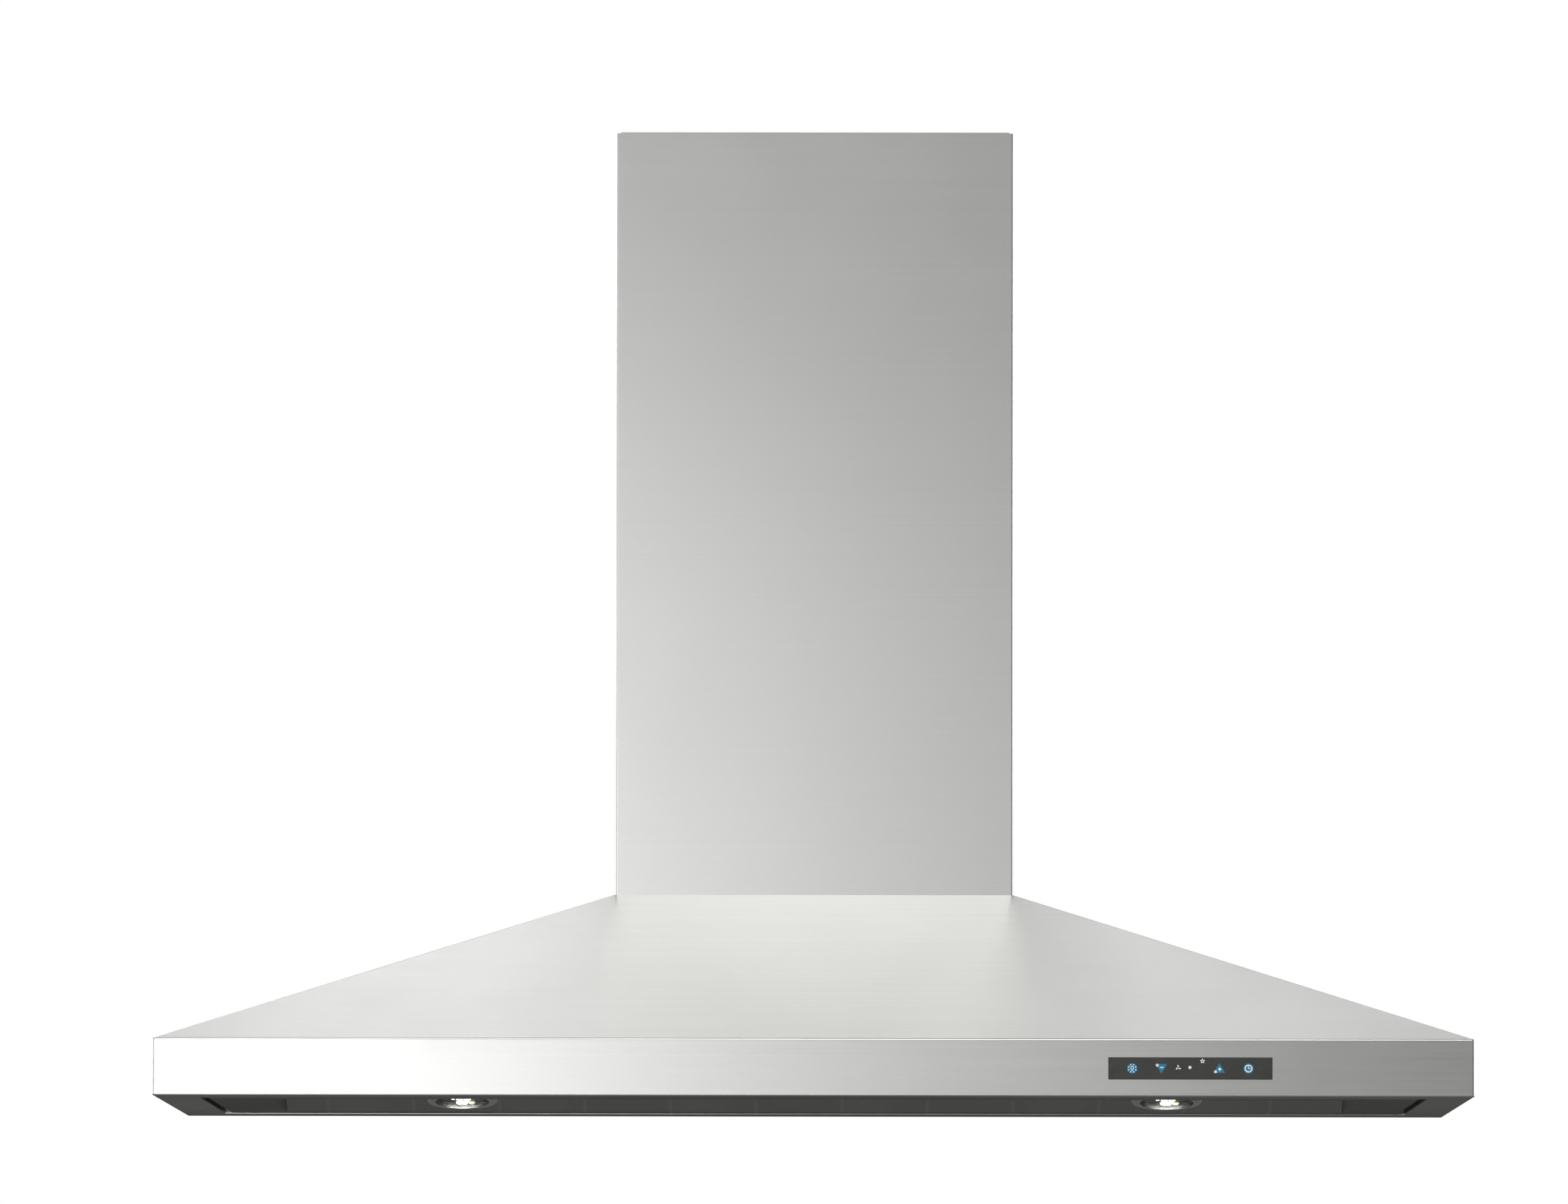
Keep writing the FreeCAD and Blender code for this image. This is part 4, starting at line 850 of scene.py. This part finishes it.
# ---------------------------------------------------------------- mesh tools
class MarkSheet:
    """Thin upright marks drawn in x and z and raised towards the front."""

    def __init__(self, name: str, back: float, thickness: float) -> None:
        """Start an empty sheet of marks.

        Args:
            name: Name of the piece.
            back: y of the marks' back.
            thickness: How far they stand towards the front.
        """
        self.name = name
        self.back = back
        self.thickness = thickness
        self.mesh = bmesh.new()

    def outline(self, points: Sequence[tuple[float, float]]) -> None:
        """Raise one closed outline.

        Args:
            points: Its corners, in x and z.
        """
        front = [self.mesh.verts.new((x, self.back - self.thickness, z)) for x, z in points]
        rear = [self.mesh.verts.new((x, self.back, z)) for x, z in points]
        self.mesh.faces.new(front)
        self.mesh.faces.new(rear[::-1])
        for i, (a, b) in enumerate(zip(front, front[1:] + front[:1])):
            self.mesh.faces.new((b, a, rear[i], rear[(i + 1) % len(rear)]))

    def disc(self, centre: tuple[float, float], radii: tuple[float, float], turn: float = 0.0) -> None:
        """Raise a disc or an oval.

        Args:
            centre: Its middle.
            radii: Half width and half height.
            turn: Angle of its width, in degrees.
        """
        cos, sin = math.cos(math.radians(turn)), math.sin(math.radians(turn))
        points = []
        for i in range(28):
            a, b = radii[0] * math.cos(math.tau * i / 28), radii[1] * math.sin(math.tau * i / 28)
            points.append((centre[0] + a * cos - b * sin, centre[1] + a * sin + b * cos))
        self.outline(points)

    def ring(self, centre: tuple[float, float], outer: float, inner: float) -> None:
        """Raise a ring, as short blocks laid end to end.

        Args:
            centre: Its middle.
            outer: Outer radius.
            inner: Inner radius.
        """
        steps = 36
        rims = []
        for radius in (outer, inner):
            ring = [(centre[0] + radius * math.cos(math.tau * i / steps),
                     centre[1] + radius * math.sin(math.tau * i / steps)) for i in range(steps)]
            rims.append(ring)
        layers = []
        for y in (self.back - self.thickness, self.back):
            layers.append([[self.mesh.verts.new((x, y, z)) for x, z in ring] for ring in rims])
        (front_out, front_in), (back_out, back_in) = layers
        for i in range(steps):
            j = (i + 1) % steps
            self.mesh.faces.new((front_out[i], front_out[j], front_in[j], front_in[i]))
            self.mesh.faces.new((back_out[j], back_out[i], back_in[i], back_in[j]))
            self.mesh.faces.new((front_out[j], front_out[i], back_out[i], back_out[j]))
            self.mesh.faces.new((front_in[i], front_in[j], back_in[j], back_in[i]))

    def bar(self, start: tuple[float, float], end: tuple[float, float], width: float) -> None:
        """Raise a straight bar.

        Args:
            start: Middle of its first end.
            end: Middle of its second end.
            width: Its width.
        """
        along = Vector((end[0] - start[0], end[1] - start[1])).normalized()
        side = Vector((-along.y, along.x)) * width / 2
        first, last = Vector(start), Vector(end)
        self.outline([tuple(p) for p in (first - side, last - side, last + side, first + side)])

    def piece(self, material: bpy.types.Material) -> bpy.types.Object:
        """Close the mesh and link it.

        Args:
            material: Its finish.

        Returns:
            The linked object.
        """
        bmesh.ops.recalc_face_normals(self.mesh, faces=self.mesh.faces)
        data = bpy.data.meshes.new(self.name)
        self.mesh.to_mesh(data)
        self.mesh.free()
        data.materials.append(material)
        piece = bpy.data.objects.new(self.name, data)
        bpy.context.scene.collection.objects.link(piece)
        return piece


@dataclass
class Workshop:
    """The loaded frame and what every sub-assembly needs from it.

    Args:
        nodes: CAD objects by node name.
    """

    nodes: dict[str, bpy.types.Object]

    def dress(self, names: Iterable[str], material: bpy.types.Material) -> None:
        """Give CAD nodes a finish.

        Args:
            names: Node names.
            material: The finish.
        """
        for name in names:
            piece = self.nodes[name]
            if not piece.material_slots:
                piece.data.materials.append(material)
            for place in piece.material_slots:
                place.material = material
            LOG.info("dressed %s in %s", name, material.name)

    def mount(self, piece: bpy.types.Object, body: str, stands_for: Sequence[str] = ()) -> None:
        """Put a new piece on a body.

        Args:
            piece: The new piece.
            body: Body that carries it.
            stands_for: CAD nodes it replaces.
        """
        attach(piece, body)
        if stands_for:
            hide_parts(*stands_for)
        LOG.info("built %s on %s", piece.name, body)


@dataclass(frozen=True)
class Palette:
    """One of each finish, shared by the sub-assemblies.

    Args:
        steel: Outer sheet.
        inside: Underside sheet.
        zinc: Coated sheet.
        baffle: Filter steel.
        chrome: Bezels.
        screws: Screws and pins.
        black: Dark plastic.
        grey: Grey plastic.
        motor: Motor paint.
        alloy: Cast aluminium.
        board: Circuit board.
        sheath: Cable sheath.
    """

    steel: bpy.types.Material
    inside: bpy.types.Material
    zinc: bpy.types.Material
    baffle: bpy.types.Material
    chrome: bpy.types.Material
    screws: bpy.types.Material
    black: bpy.types.Material
    grey: bpy.types.Material
    motor: bpy.types.Material
    alloy: bpy.types.Material
    board: bpy.types.Material
    sheath: bpy.types.Material

    @classmethod
    def mixed(cls) -> "Palette":
        """Draw up every shared finish.

        Returns:
            The palette.
        """
        return cls(
            steel=BrushedSteel().material(),
            inside=PanelSteel().material(),
            zinc=Galvanised().material(),
            baffle=BaffleSteel().material(),
            chrome=Chrome("lamp_chrome", (0.80, 0.80, 0.79), 0.10).material(),
            screws=Chrome("zinc_screws", (0.62, 0.62, 0.61), 0.24).material(),
            black=MouldedPlastic("black_plastic", (0.022, 0.022, 0.024), 0.5).material(),
            grey=MouldedPlastic("grey_plastic", (0.10, 0.105, 0.11), 0.42).material(),
            motor=MotorPaint().material(),
            alloy=CastAluminium().material(),
            board=CircuitBoard().material(),
            sheath=CableSheath().material(),
        )


# ---------------------------------------------------------------- sub-assemblies
@dataclass
class Chimney:
    """Ceiling frame, rails and the chimney's covers.

    Args:
        covers: Outer sheets.
        frame: Bracket and rails.
        fixings: Screws and bolts.
    """

    covers: tuple[str, ...] = ("upper_chimney_cover", "lower_chimney_front", "lower_chimney_rear")
    frame: tuple[str, ...] = ("ceiling_bracket", "upper_rails", "lower_rails")
    fixings: tuple[str, ...] = ("upper_cover_screws", "rail_lock_bolts", "chimney_seam_screws")

    def dress(self, shop: Workshop, palette: Palette) -> None:
        """Give the chimney its finishes.

        Args:
            shop: The workshop that holds the frame.
            palette: The shared finishes.
        """
        steel = BrushedSteel("chimney_steel", (0.80, 0.805, 0.785), 0.38, Polish.BRIGHT, 0.55).material()
        shop.dress(self.covers, steel)
        shop.dress(self.frame, palette.zinc)
        shop.dress(self.fixings, palette.screws)


@dataclass
class Canopy:
    """The folded hood with its deck, badge plate and underside panels.

    Args:
        shell: Outer skin.
        panels: Underside sheets.
        fixings: Screws.
    """

    shell: tuple[str, ...] = ("canopy_shell",)
    panels: tuple[str, ...] = (
        "right_side_panel", "left_side_panel", "front_lamp_panel", "rear_lamp_panel", "filter_keepers",
    )
    fixings: tuple[str, ...] = ("underside_screws", "deck_bolts")

    def dress(self, shop: Workshop, palette: Palette) -> None:
        """Give the canopy its finishes.

        Args:
            shop: The workshop that holds the frame.
            palette: The shared finishes.
        """
        shop.dress(self.shell, palette.steel)
        shop.dress(self.panels, palette.inside)
        shop.dress(("canopy_deck", "filter_pivot_brackets", "filter_crossbars"), palette.zinc)
        shop.dress(self.fixings, palette.screws)
        badge = BrushedSteel("badge_steel", (0.62, 0.62, 0.61), 0.22, Polish.BRIGHT, 0.8).material()
        shop.dress(("badge_plate",), badge)


@dataclass
class Filters:
    """Three baffle filters with their latches.

    Args:
        places: Name of each place along the hood.
    """

    places: tuple[str, ...] = ("left", "middle", "right")

    def dress(self, shop: Workshop, palette: Palette) -> None:
        """Give the filters their finishes.

        Args:
            shop: The workshop that holds the frame.
            palette: The shared finishes.
        """
        frame = BrushedSteel("filter_frame_steel", (0.68, 0.68, 0.67), 0.30, Polish.SATIN, 0.8).material()
        for place in self.places:
            shop.dress((f"{place}_filter_frame",), frame)
            shop.dress((f"{place}_filter_baffles",), palette.baffle)
            shop.dress((f"{place}_filter_latch",), palette.black)


@dataclass
class Blower:
    """Blower box, scroll, wheel, motor and the damper over them.

    Args:
        sheets: Coated sheet parts.
    """

    sheets: tuple[str, ...] = ("blower_box", "blower_scroll", "left_inlet_plate", "right_inlet_plate",
                               "motor_bracket", "duct_collar")

    def dress(self, shop: Workshop, palette: Palette) -> None:
        """Give the blower its finishes.

        Args:
            shop: The workshop that holds the frame.
            palette: The shared finishes.
        """
        shop.dress(self.sheets, palette.zinc)
        shop.dress(("impeller", "left_damper_flap", "right_damper_flap", "motor_capacitor"), palette.grey)
        shop.dress(("motor_shaft", "damper_pins"), palette.screws)
        shop.dress(("motor_body",), palette.motor)


@dataclass
class Electrics:
    """Boxes, boards, terminals and the wiring between them.

    Args:
        boxes: Coated sheet boxes.
        plastics: Black plastic parts.
        boards: Circuit boards.
    """

    boxes: tuple[str, ...] = ("power_box", "power_box_lid", "junction_box", "junction_box_lid")
    plastics: tuple[str, ...] = ("led_driver", "terminal_block", "control_housing")
    boards: tuple[str, ...] = ("power_board", "control_board")

    def dress(self, shop: Workshop, palette: Palette) -> None:
        """Give the electrics their finishes.

        Args:
            shop: The workshop that holds the frame.
            palette: The shared finishes.
        """
        shop.dress(self.boxes, palette.zinc)
        shop.dress(self.plastics, palette.black)
        shop.dress(self.boards, palette.board)
        shop.dress(("wiring",), palette.sheath)


@dataclass
class Lamps:
    """Four round lamps: bezel, lens, board and the lit domes over its chips.

    Args:
        spread: Distance of the lamps from the middle, across and along the depth.
        height: Height of a lamp's face over the rim.
        slope: Slope of the panel in degrees.
        dome_radius: Radius of a dome.
        dome_drop: How far a dome stands down.
        domes: Offset of each lit dome, across and towards the low edge, with its size.
        warm_dome: Offset of the one unlit, yellow dome, which is given a painted glow.
    """

    spread: tuple[float, float] = (0.2956, 0.169)
    height: float = 0.00975
    slope: float = 12.0
    dome_radius: float = 0.0031
    dome_drop: float = 0.0021
    domes: tuple[tuple[float, float, float], ...] = (
        (-0.0076, -0.004, 0.55), (-0.0020, -0.004, 1.0), (0.0044, -0.004, 1.0), (-0.0022, 0.0095, 1.0),
        (0.0016, 0.0095, 1.0),
    )
    warm_dome: tuple[float, float, float] = (0.0078, 0.0095, 0.9)

    def dome(self, mesh: bmesh.types.BMesh, side: tuple[int, int], offset: Point) -> None:
        """Add one dome to a mesh.

        Args:
            mesh: The mesh to add to.
            side: Sign of the lamp's x and y.
            offset: Offset across and towards the low edge, and size.
        """
        across, down_slope, size = offset
        lift = Matrix.Translation((side[0] * self.spread[0] + across, side[1] * self.spread[1],
                                   RIM_BOTTOM + self.height))
        tilt = Matrix.Rotation(math.radians(-side[1] * self.slope), 4, "X")
        shift = Matrix.Translation((0, side[1] * down_slope, 0))
        shape = Matrix.Diagonal((1, 1, self.dome_drop / self.dome_radius, 1))
        made = bmesh.ops.create_uvsphere(mesh, u_segments=20, v_segments=12, radius=self.dome_radius * size)
        upper = [v for v in made["verts"] if v.co.z > 1e-6]
        keep = [v for v in made["verts"] if v.co.z <= 1e-6]
        bmesh.ops.delete(mesh, geom=upper, context="VERTS")
        bmesh.ops.transform(mesh, matrix=lift @ tilt @ shift @ shape, verts=keep)

    def build(self, shop: Workshop) -> None:
        """Build the domes of all lamps.

        Args:
            shop: The workshop that holds the frame.
        """
        lit = LampDome("lamp_dome_lit", (1.0, 1.0, 0.98), 5.0).material()
        # Painted glow: the unlit yellow dome emits too.
        warm = LampDome("lamp_dome_warm", (0.93, 0.93, 0.62), 0.85).material()
        sets = (("lamp_domes", lit, self.domes), ("lamp_warm_domes", warm, (self.warm_dome,)))
        for name, material, offsets in sets:
            mesh = bmesh.new()
            for side in ((-1, -1), (1, -1), (-1, 1), (1, 1)):
                for offset in offsets:
                    self.dome(mesh, side, offset)
            for face in mesh.faces:
                face.smooth = True
            data = bpy.data.meshes.new(name)
            mesh.to_mesh(data)
            mesh.free()
            data.materials.append(material)
            piece = bpy.data.objects.new(name, data)
            bpy.context.scene.collection.objects.link(piece)
            shop.mount(piece, shop.nodes["lamp_led_boards"]["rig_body"])

    def dress(self, shop: Workshop, palette: Palette) -> None:
        """Give the lamps their finishes.

        Args:
            shop: The workshop that holds the frame.
            palette: The shared finishes.
        """
        shop.dress(("lamp_bezels",), palette.chrome)
        shop.dress(("lamp_lenses",), LensGlass().material())
        shop.dress(("lamp_led_boards",), LampBoard().material())
        shop.dress(("lamp_bodies",), palette.alloy)


@dataclass
class KeyStrip:
    """Touch keys: the smoked glass, its blue keys and the white marks printed on them.

    Args:
        middle: x and height of the strip's middle.
        face: y of the blue keys' front.
        thickness: Thickness of the white print.
        far: Distance of the outer keys from the middle.
        near: Distance of the slower and faster keys.
        dot: Distance of the small marks.
    """

    middle: tuple[float, float] = (0.304, RIM_BOTTOM + 0.0226)
    face: float = FACE_Y + 0.0001
    thickness: float = 0.00006
    far: float = 0.0469
    near: float = 0.0234
    dot: float = 0.0098

    def at(self, x: float, z: float = 0.0) -> tuple[float, float]:
        """Place on the strip from offsets in metres."""
        return (self.middle[0] + x, self.middle[1] + z)

    def lamp_key(self, marks: MarkSheet) -> None:
        """Bulb outline inside eight rays.

        Args:
            marks: The sheet to draw them on.
        """
        marks.ring(self.at(-self.far, 0.0004), 0.00145, 0.0009)
        marks.bar(self.at(-self.far - 0.0006, -0.0016), self.at(-self.far + 0.0006, -0.0016), 0.0007)
        for i in range(8):
            angle = math.tau * (i + 0.5) / 8
            ends = [self.at(-self.far + r * math.cos(angle), r * math.sin(angle)) for r in (0.0026, 0.0036)]
            marks.bar(ends[0], ends[1], 0.0009)

    def clock_key(self, marks: MarkSheet) -> None:
        """Ring with two hands.

        Args:
            marks: The sheet to draw them on.
        """
        marks.ring(self.at(self.far), 0.0032, 0.0022)
        marks.bar(self.at(self.far), self.at(self.far, 0.0019), 0.0006)
        marks.bar(self.at(self.far - 0.0003), self.at(self.far + 0.0016), 0.0006)

    def step_keys(self, marks: MarkSheet) -> None:
        """Minus and plus on the two triangles, each with its round blob.

        Args:
            marks: The sheet to draw them on.
        """
        marks.disc(self.at(-self.near - 0.0033, 0.0026), (0.0012, 0.0012))
        marks.bar(self.at(-self.near - 0.0011, 0.0008), self.at(-self.near + 0.0019, 0.0008), 0.0009)
        marks.disc(self.at(self.near - 0.0031, -0.0026), (0.0012, 0.0012))
        marks.bar(self.at(self.near - 0.0012, -0.0006), self.at(self.near + 0.0018, -0.0006), 0.0008)
        marks.bar(self.at(self.near + 0.0003, -0.0021), self.at(self.near + 0.0003, 0.0009), 0.0008)

    def small_marks(self, marks: MarkSheet) -> None:
        """Fan, dot and petalled wheel between the keys.

        Args:
            marks: The sheet to draw them on.
        """
        for i in range(3):
            angle = math.tau * i / 3 + math.pi / 2
            centre = self.at(-self.dot + 0.0013 * math.cos(angle), 0.0006 + 0.0013 * math.sin(angle))
            marks.disc(centre, (0.00105, 0.00055), math.degrees(angle) + 25)
        marks.disc(self.at(-0.0003, 0.0008), (0.0013, 0.0013))
        for i in range(5):
            angle = math.tau * i / 5 + math.pi / 2
            centre = self.at(self.dot + 0.0012 * math.cos(angle), 0.0060 + 0.0012 * math.sin(angle))
            marks.disc(centre, (0.00075, 0.00055), math.degrees(angle))

    def build(self, shop: Workshop) -> None:
        """Build the white print.

        Args:
            shop: The workshop that holds the frame.
        """
        # The white print gets a painted glow.
        white = KeyEnamel("key_white", (0.80, 0.84, 0.84), 0.35).material()
        print_sheet = MarkSheet("key_print", self.face, self.thickness)
        self.lamp_key(print_sheet)
        self.clock_key(print_sheet)
        self.step_keys(print_sheet)
        body = shop.nodes["control_glass"]["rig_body"]
        shop.mount(print_sheet.piece(white), body)
        small = MarkSheet("key_small_marks", self.face + 0.0001, 0.0001)
        self.small_marks(small)
        shop.mount(small.piece(white), body, ("touch_symbols",))

    def dress(self, shop: Workshop) -> None:
        """Give the glass and the keys their finishes.

        Args:
            shop: The workshop that holds the frame.
        """
        shop.dress(("control_glass",), KeyGlass().material())
        # The blue keys get a painted glow.
        shop.dress(("touch_icons",), KeyEnamel("key_blue", (0.022, 0.235, 0.40), 0.25).material())


# ---------------------------------------------------------------- studio
@dataclass(frozen=True)
class SoftLight:
    """One soft box.

    Args:
        name: Its name.
        place: Where it stands.
        aim: What it points at.
        size: Width and height.
        power: Watts.
    """

    name: str
    place: Point
    aim: Point
    size: tuple[float, float]
    power: float

    def switch_on(self) -> None:
        """Add the light to the scene."""
        data = bpy.data.lights.new(self.name, "AREA")
        data.shape = "RECTANGLE"
        data.size, data.size_y = self.size
        data.energy = self.power
        lamp = bpy.data.objects.new(self.name, data)
        lamp.location = self.place
        lamp.rotation_euler = (Vector(self.aim) - Vector(self.place)).to_track_quat("-Z", "Y").to_euler()
        lamp.visible_camera = False
        bpy.context.scene.collection.objects.link(lamp)


@dataclass
class Studio:
    """Camera, pale floor, soft lights and world.

    Args:
        camera_place: Where the camera stands.
        yaw: Turn to the left, in degrees.
        tilt: Tilt upwards.
        roll: Roll.
        lens: Focal length in millimetres.
        floor_height: Height of the floor.
        ambient: Brightness of the surroundings.
        lights: The soft boxes.
    """

    camera_place: Point = (0.02174, -13.0259, -1.11834)
    yaw: float = 0.2080
    tilt: float = 3.2483
    roll: float = 0.0890
    lens: float = 360.84
    floor_height: float = -2.3
    ambient: float = 0.06
    lights: tuple[SoftLight, ...] = field(default_factory=lambda: (
        SoftLight("left_mid", (-0.9, -2.7, -0.7), (0, 0, -0.7), (0.9, 1.4), 14.3),
        SoftLight("front_mid", (0.0, -3.0, -0.7), (0, 0, -0.6), (1.2, 1.6), 1.5),
        SoftLight("right_mid", (1.5, -2.5, -0.7), (0, 0, -0.6), (1.2, 1.6), 0.3),
        SoftLight("left_high", (-1.4, -1.8, 1.0), (0, -0.1, -0.6), (1.2, 1.0), 7.0),
        SoftLight("front_high", (0.0, -2.0, 1.4), (0, -0.1, -0.6), (2.0, 1.2), 24.0),
        SoftLight("over_left", (-0.4, 0.9, 1.2), (-0.2, -0.2, -0.65), (0.8, 1.2), 3.9),
        SoftLight("over_right", (0.4, 0.9, 1.2), (0.2, -0.2, -0.65), (0.8, 1.2), 3.0),
        SoftLight("left_side", (-2.8, 0.2, -0.4), (0, 0, -0.6), (1.6, 1.6), 30.0),
        SoftLight("right_side", (2.8, 0.2, -0.4), (0, 0, -0.6), (1.6, 1.6), 30.0),
        SoftLight("back_left", (-1.8, 2.8, 0.6), (0, 0, -0.5), (1.6, 1.6), 45.0),
        SoftLight("back_right", (1.8, 2.8, 0.6), (0, 0, -0.5), (1.6, 1.6), 35.0),
    ))

    def set_camera(self) -> None:
        """Stand the camera and make it the scene's."""
        data = bpy.data.cameras.new("camera")
        data.lens, data.sensor_width = self.lens, 36.0
        data.clip_end = 100.0
        camera = bpy.data.objects.new("camera", data)
        bpy.context.scene.collection.objects.link(camera)
        turn = (
            Matrix.Rotation(math.radians(self.yaw), 4, "Z")
            @ Matrix.Rotation(math.radians(90 + self.tilt), 4, "X")
            @ Matrix.Rotation(math.radians(self.roll), 4, "Z")
        )
        camera.matrix_world = Matrix.Translation(self.camera_place) @ turn
        bpy.context.scene.camera = camera

    def lay_floor(self) -> None:
        """Lay the pale floor, seen only from above."""
        sheet = ShaderSheet("studio_floor")
        mottle = sheet.noise(sheet.place, 1.5, 2.0, 0.5)
        colour = sheet.blend(mottle, (0.76, 0.76, 0.755), (0.82, 0.82, 0.815))
        pale = sheet.add("ShaderNodeEmission", None, {"Color": colour, "Strength": 1.0})
        matt = sheet.add("ShaderNodeBsdfDiffuse", None, {"Color": (0.28, 0.28, 0.275, 1.0)})
        seen = sheet.add("ShaderNodeLightPath", output="Is Camera Ray")
        top = sheet.add("ShaderNodeMixShader", None, {0: seen, 1: matt, 2: pale})
        clear = sheet.add("ShaderNodeBsdfTransparent")
        below = sheet.add("ShaderNodeNewGeometry", output="Backfacing")
        sheet.add_output(sheet.add("ShaderNodeMixShader", None, {0: below, 1: top, 2: clear}))
        mesh = bmesh.new()
        bmesh.ops.create_grid(mesh, x_segments=8, y_segments=8, size=40.0)
        data = bpy.data.meshes.new("studio_floor")
        mesh.to_mesh(data)
        mesh.free()
        data.materials.append(sheet.material)
        floor = bpy.data.objects.new("studio_floor", data)
        floor.location = (0, 0, self.floor_height)
        bpy.context.scene.collection.objects.link(floor)

    def set_world(self) -> None:
        """White for the eye, dim grey for the metal."""
        world = bpy.data.worlds.new("studio_world")
        bpy.context.scene.world = world
        world.use_nodes = True
        tree = world.node_tree
        tree.nodes.clear()
        seen = tree.nodes.new("ShaderNodeLightPath")
        dim, bright = tree.nodes.new("ShaderNodeBackground"), tree.nodes.new("ShaderNodeBackground")
        dim.inputs["Color"].default_value = (1.0, 1.0, 0.985, 1.0)
        dim.inputs["Strength"].default_value = self.ambient
        bright.inputs["Color"].default_value = (1.0, 1.0, 1.0, 1.0)
        mix, out = tree.nodes.new("ShaderNodeMixShader"), tree.nodes.new("ShaderNodeOutputWorld")
        tree.links.new(seen.outputs["Is Camera Ray"], mix.inputs[0])
        tree.links.new(dim.outputs[0], mix.inputs[1])
        tree.links.new(bright.outputs[0], mix.inputs[2])
        tree.links.new(mix.outputs[0], out.inputs["Surface"])

    def build(self) -> None:
        """Set up the whole studio."""
        self.set_camera()
        self.lay_floor()
        self.set_world()
        for light in self.lights:
            light.switch_on()
        bpy.context.scene.view_settings.view_transform = "Standard"


def main() -> None:
    """Dress the frame, add the printed marks and lamp domes, and set up the studio."""
    logging.basicConfig(level=logging.INFO, format="%(name)s %(message)s")
    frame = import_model()
    studio = Studio()
    studio.build()
    shop = Workshop(frame["nodes"])
    palette = Palette.mixed()
    Chimney().dress(shop, palette)
    Canopy().dress(shop, palette)
    Filters().dress(shop, palette)
    Blower().dress(shop, palette)
    Electrics().dress(shop, palette)
    lamps = Lamps()
    lamps.dress(shop, palette)
    lamps.build(shop)
    keys = KeyStrip()
    keys.dress(shop)
    keys.build(shop)


if __name__ == "__main__":
    main()
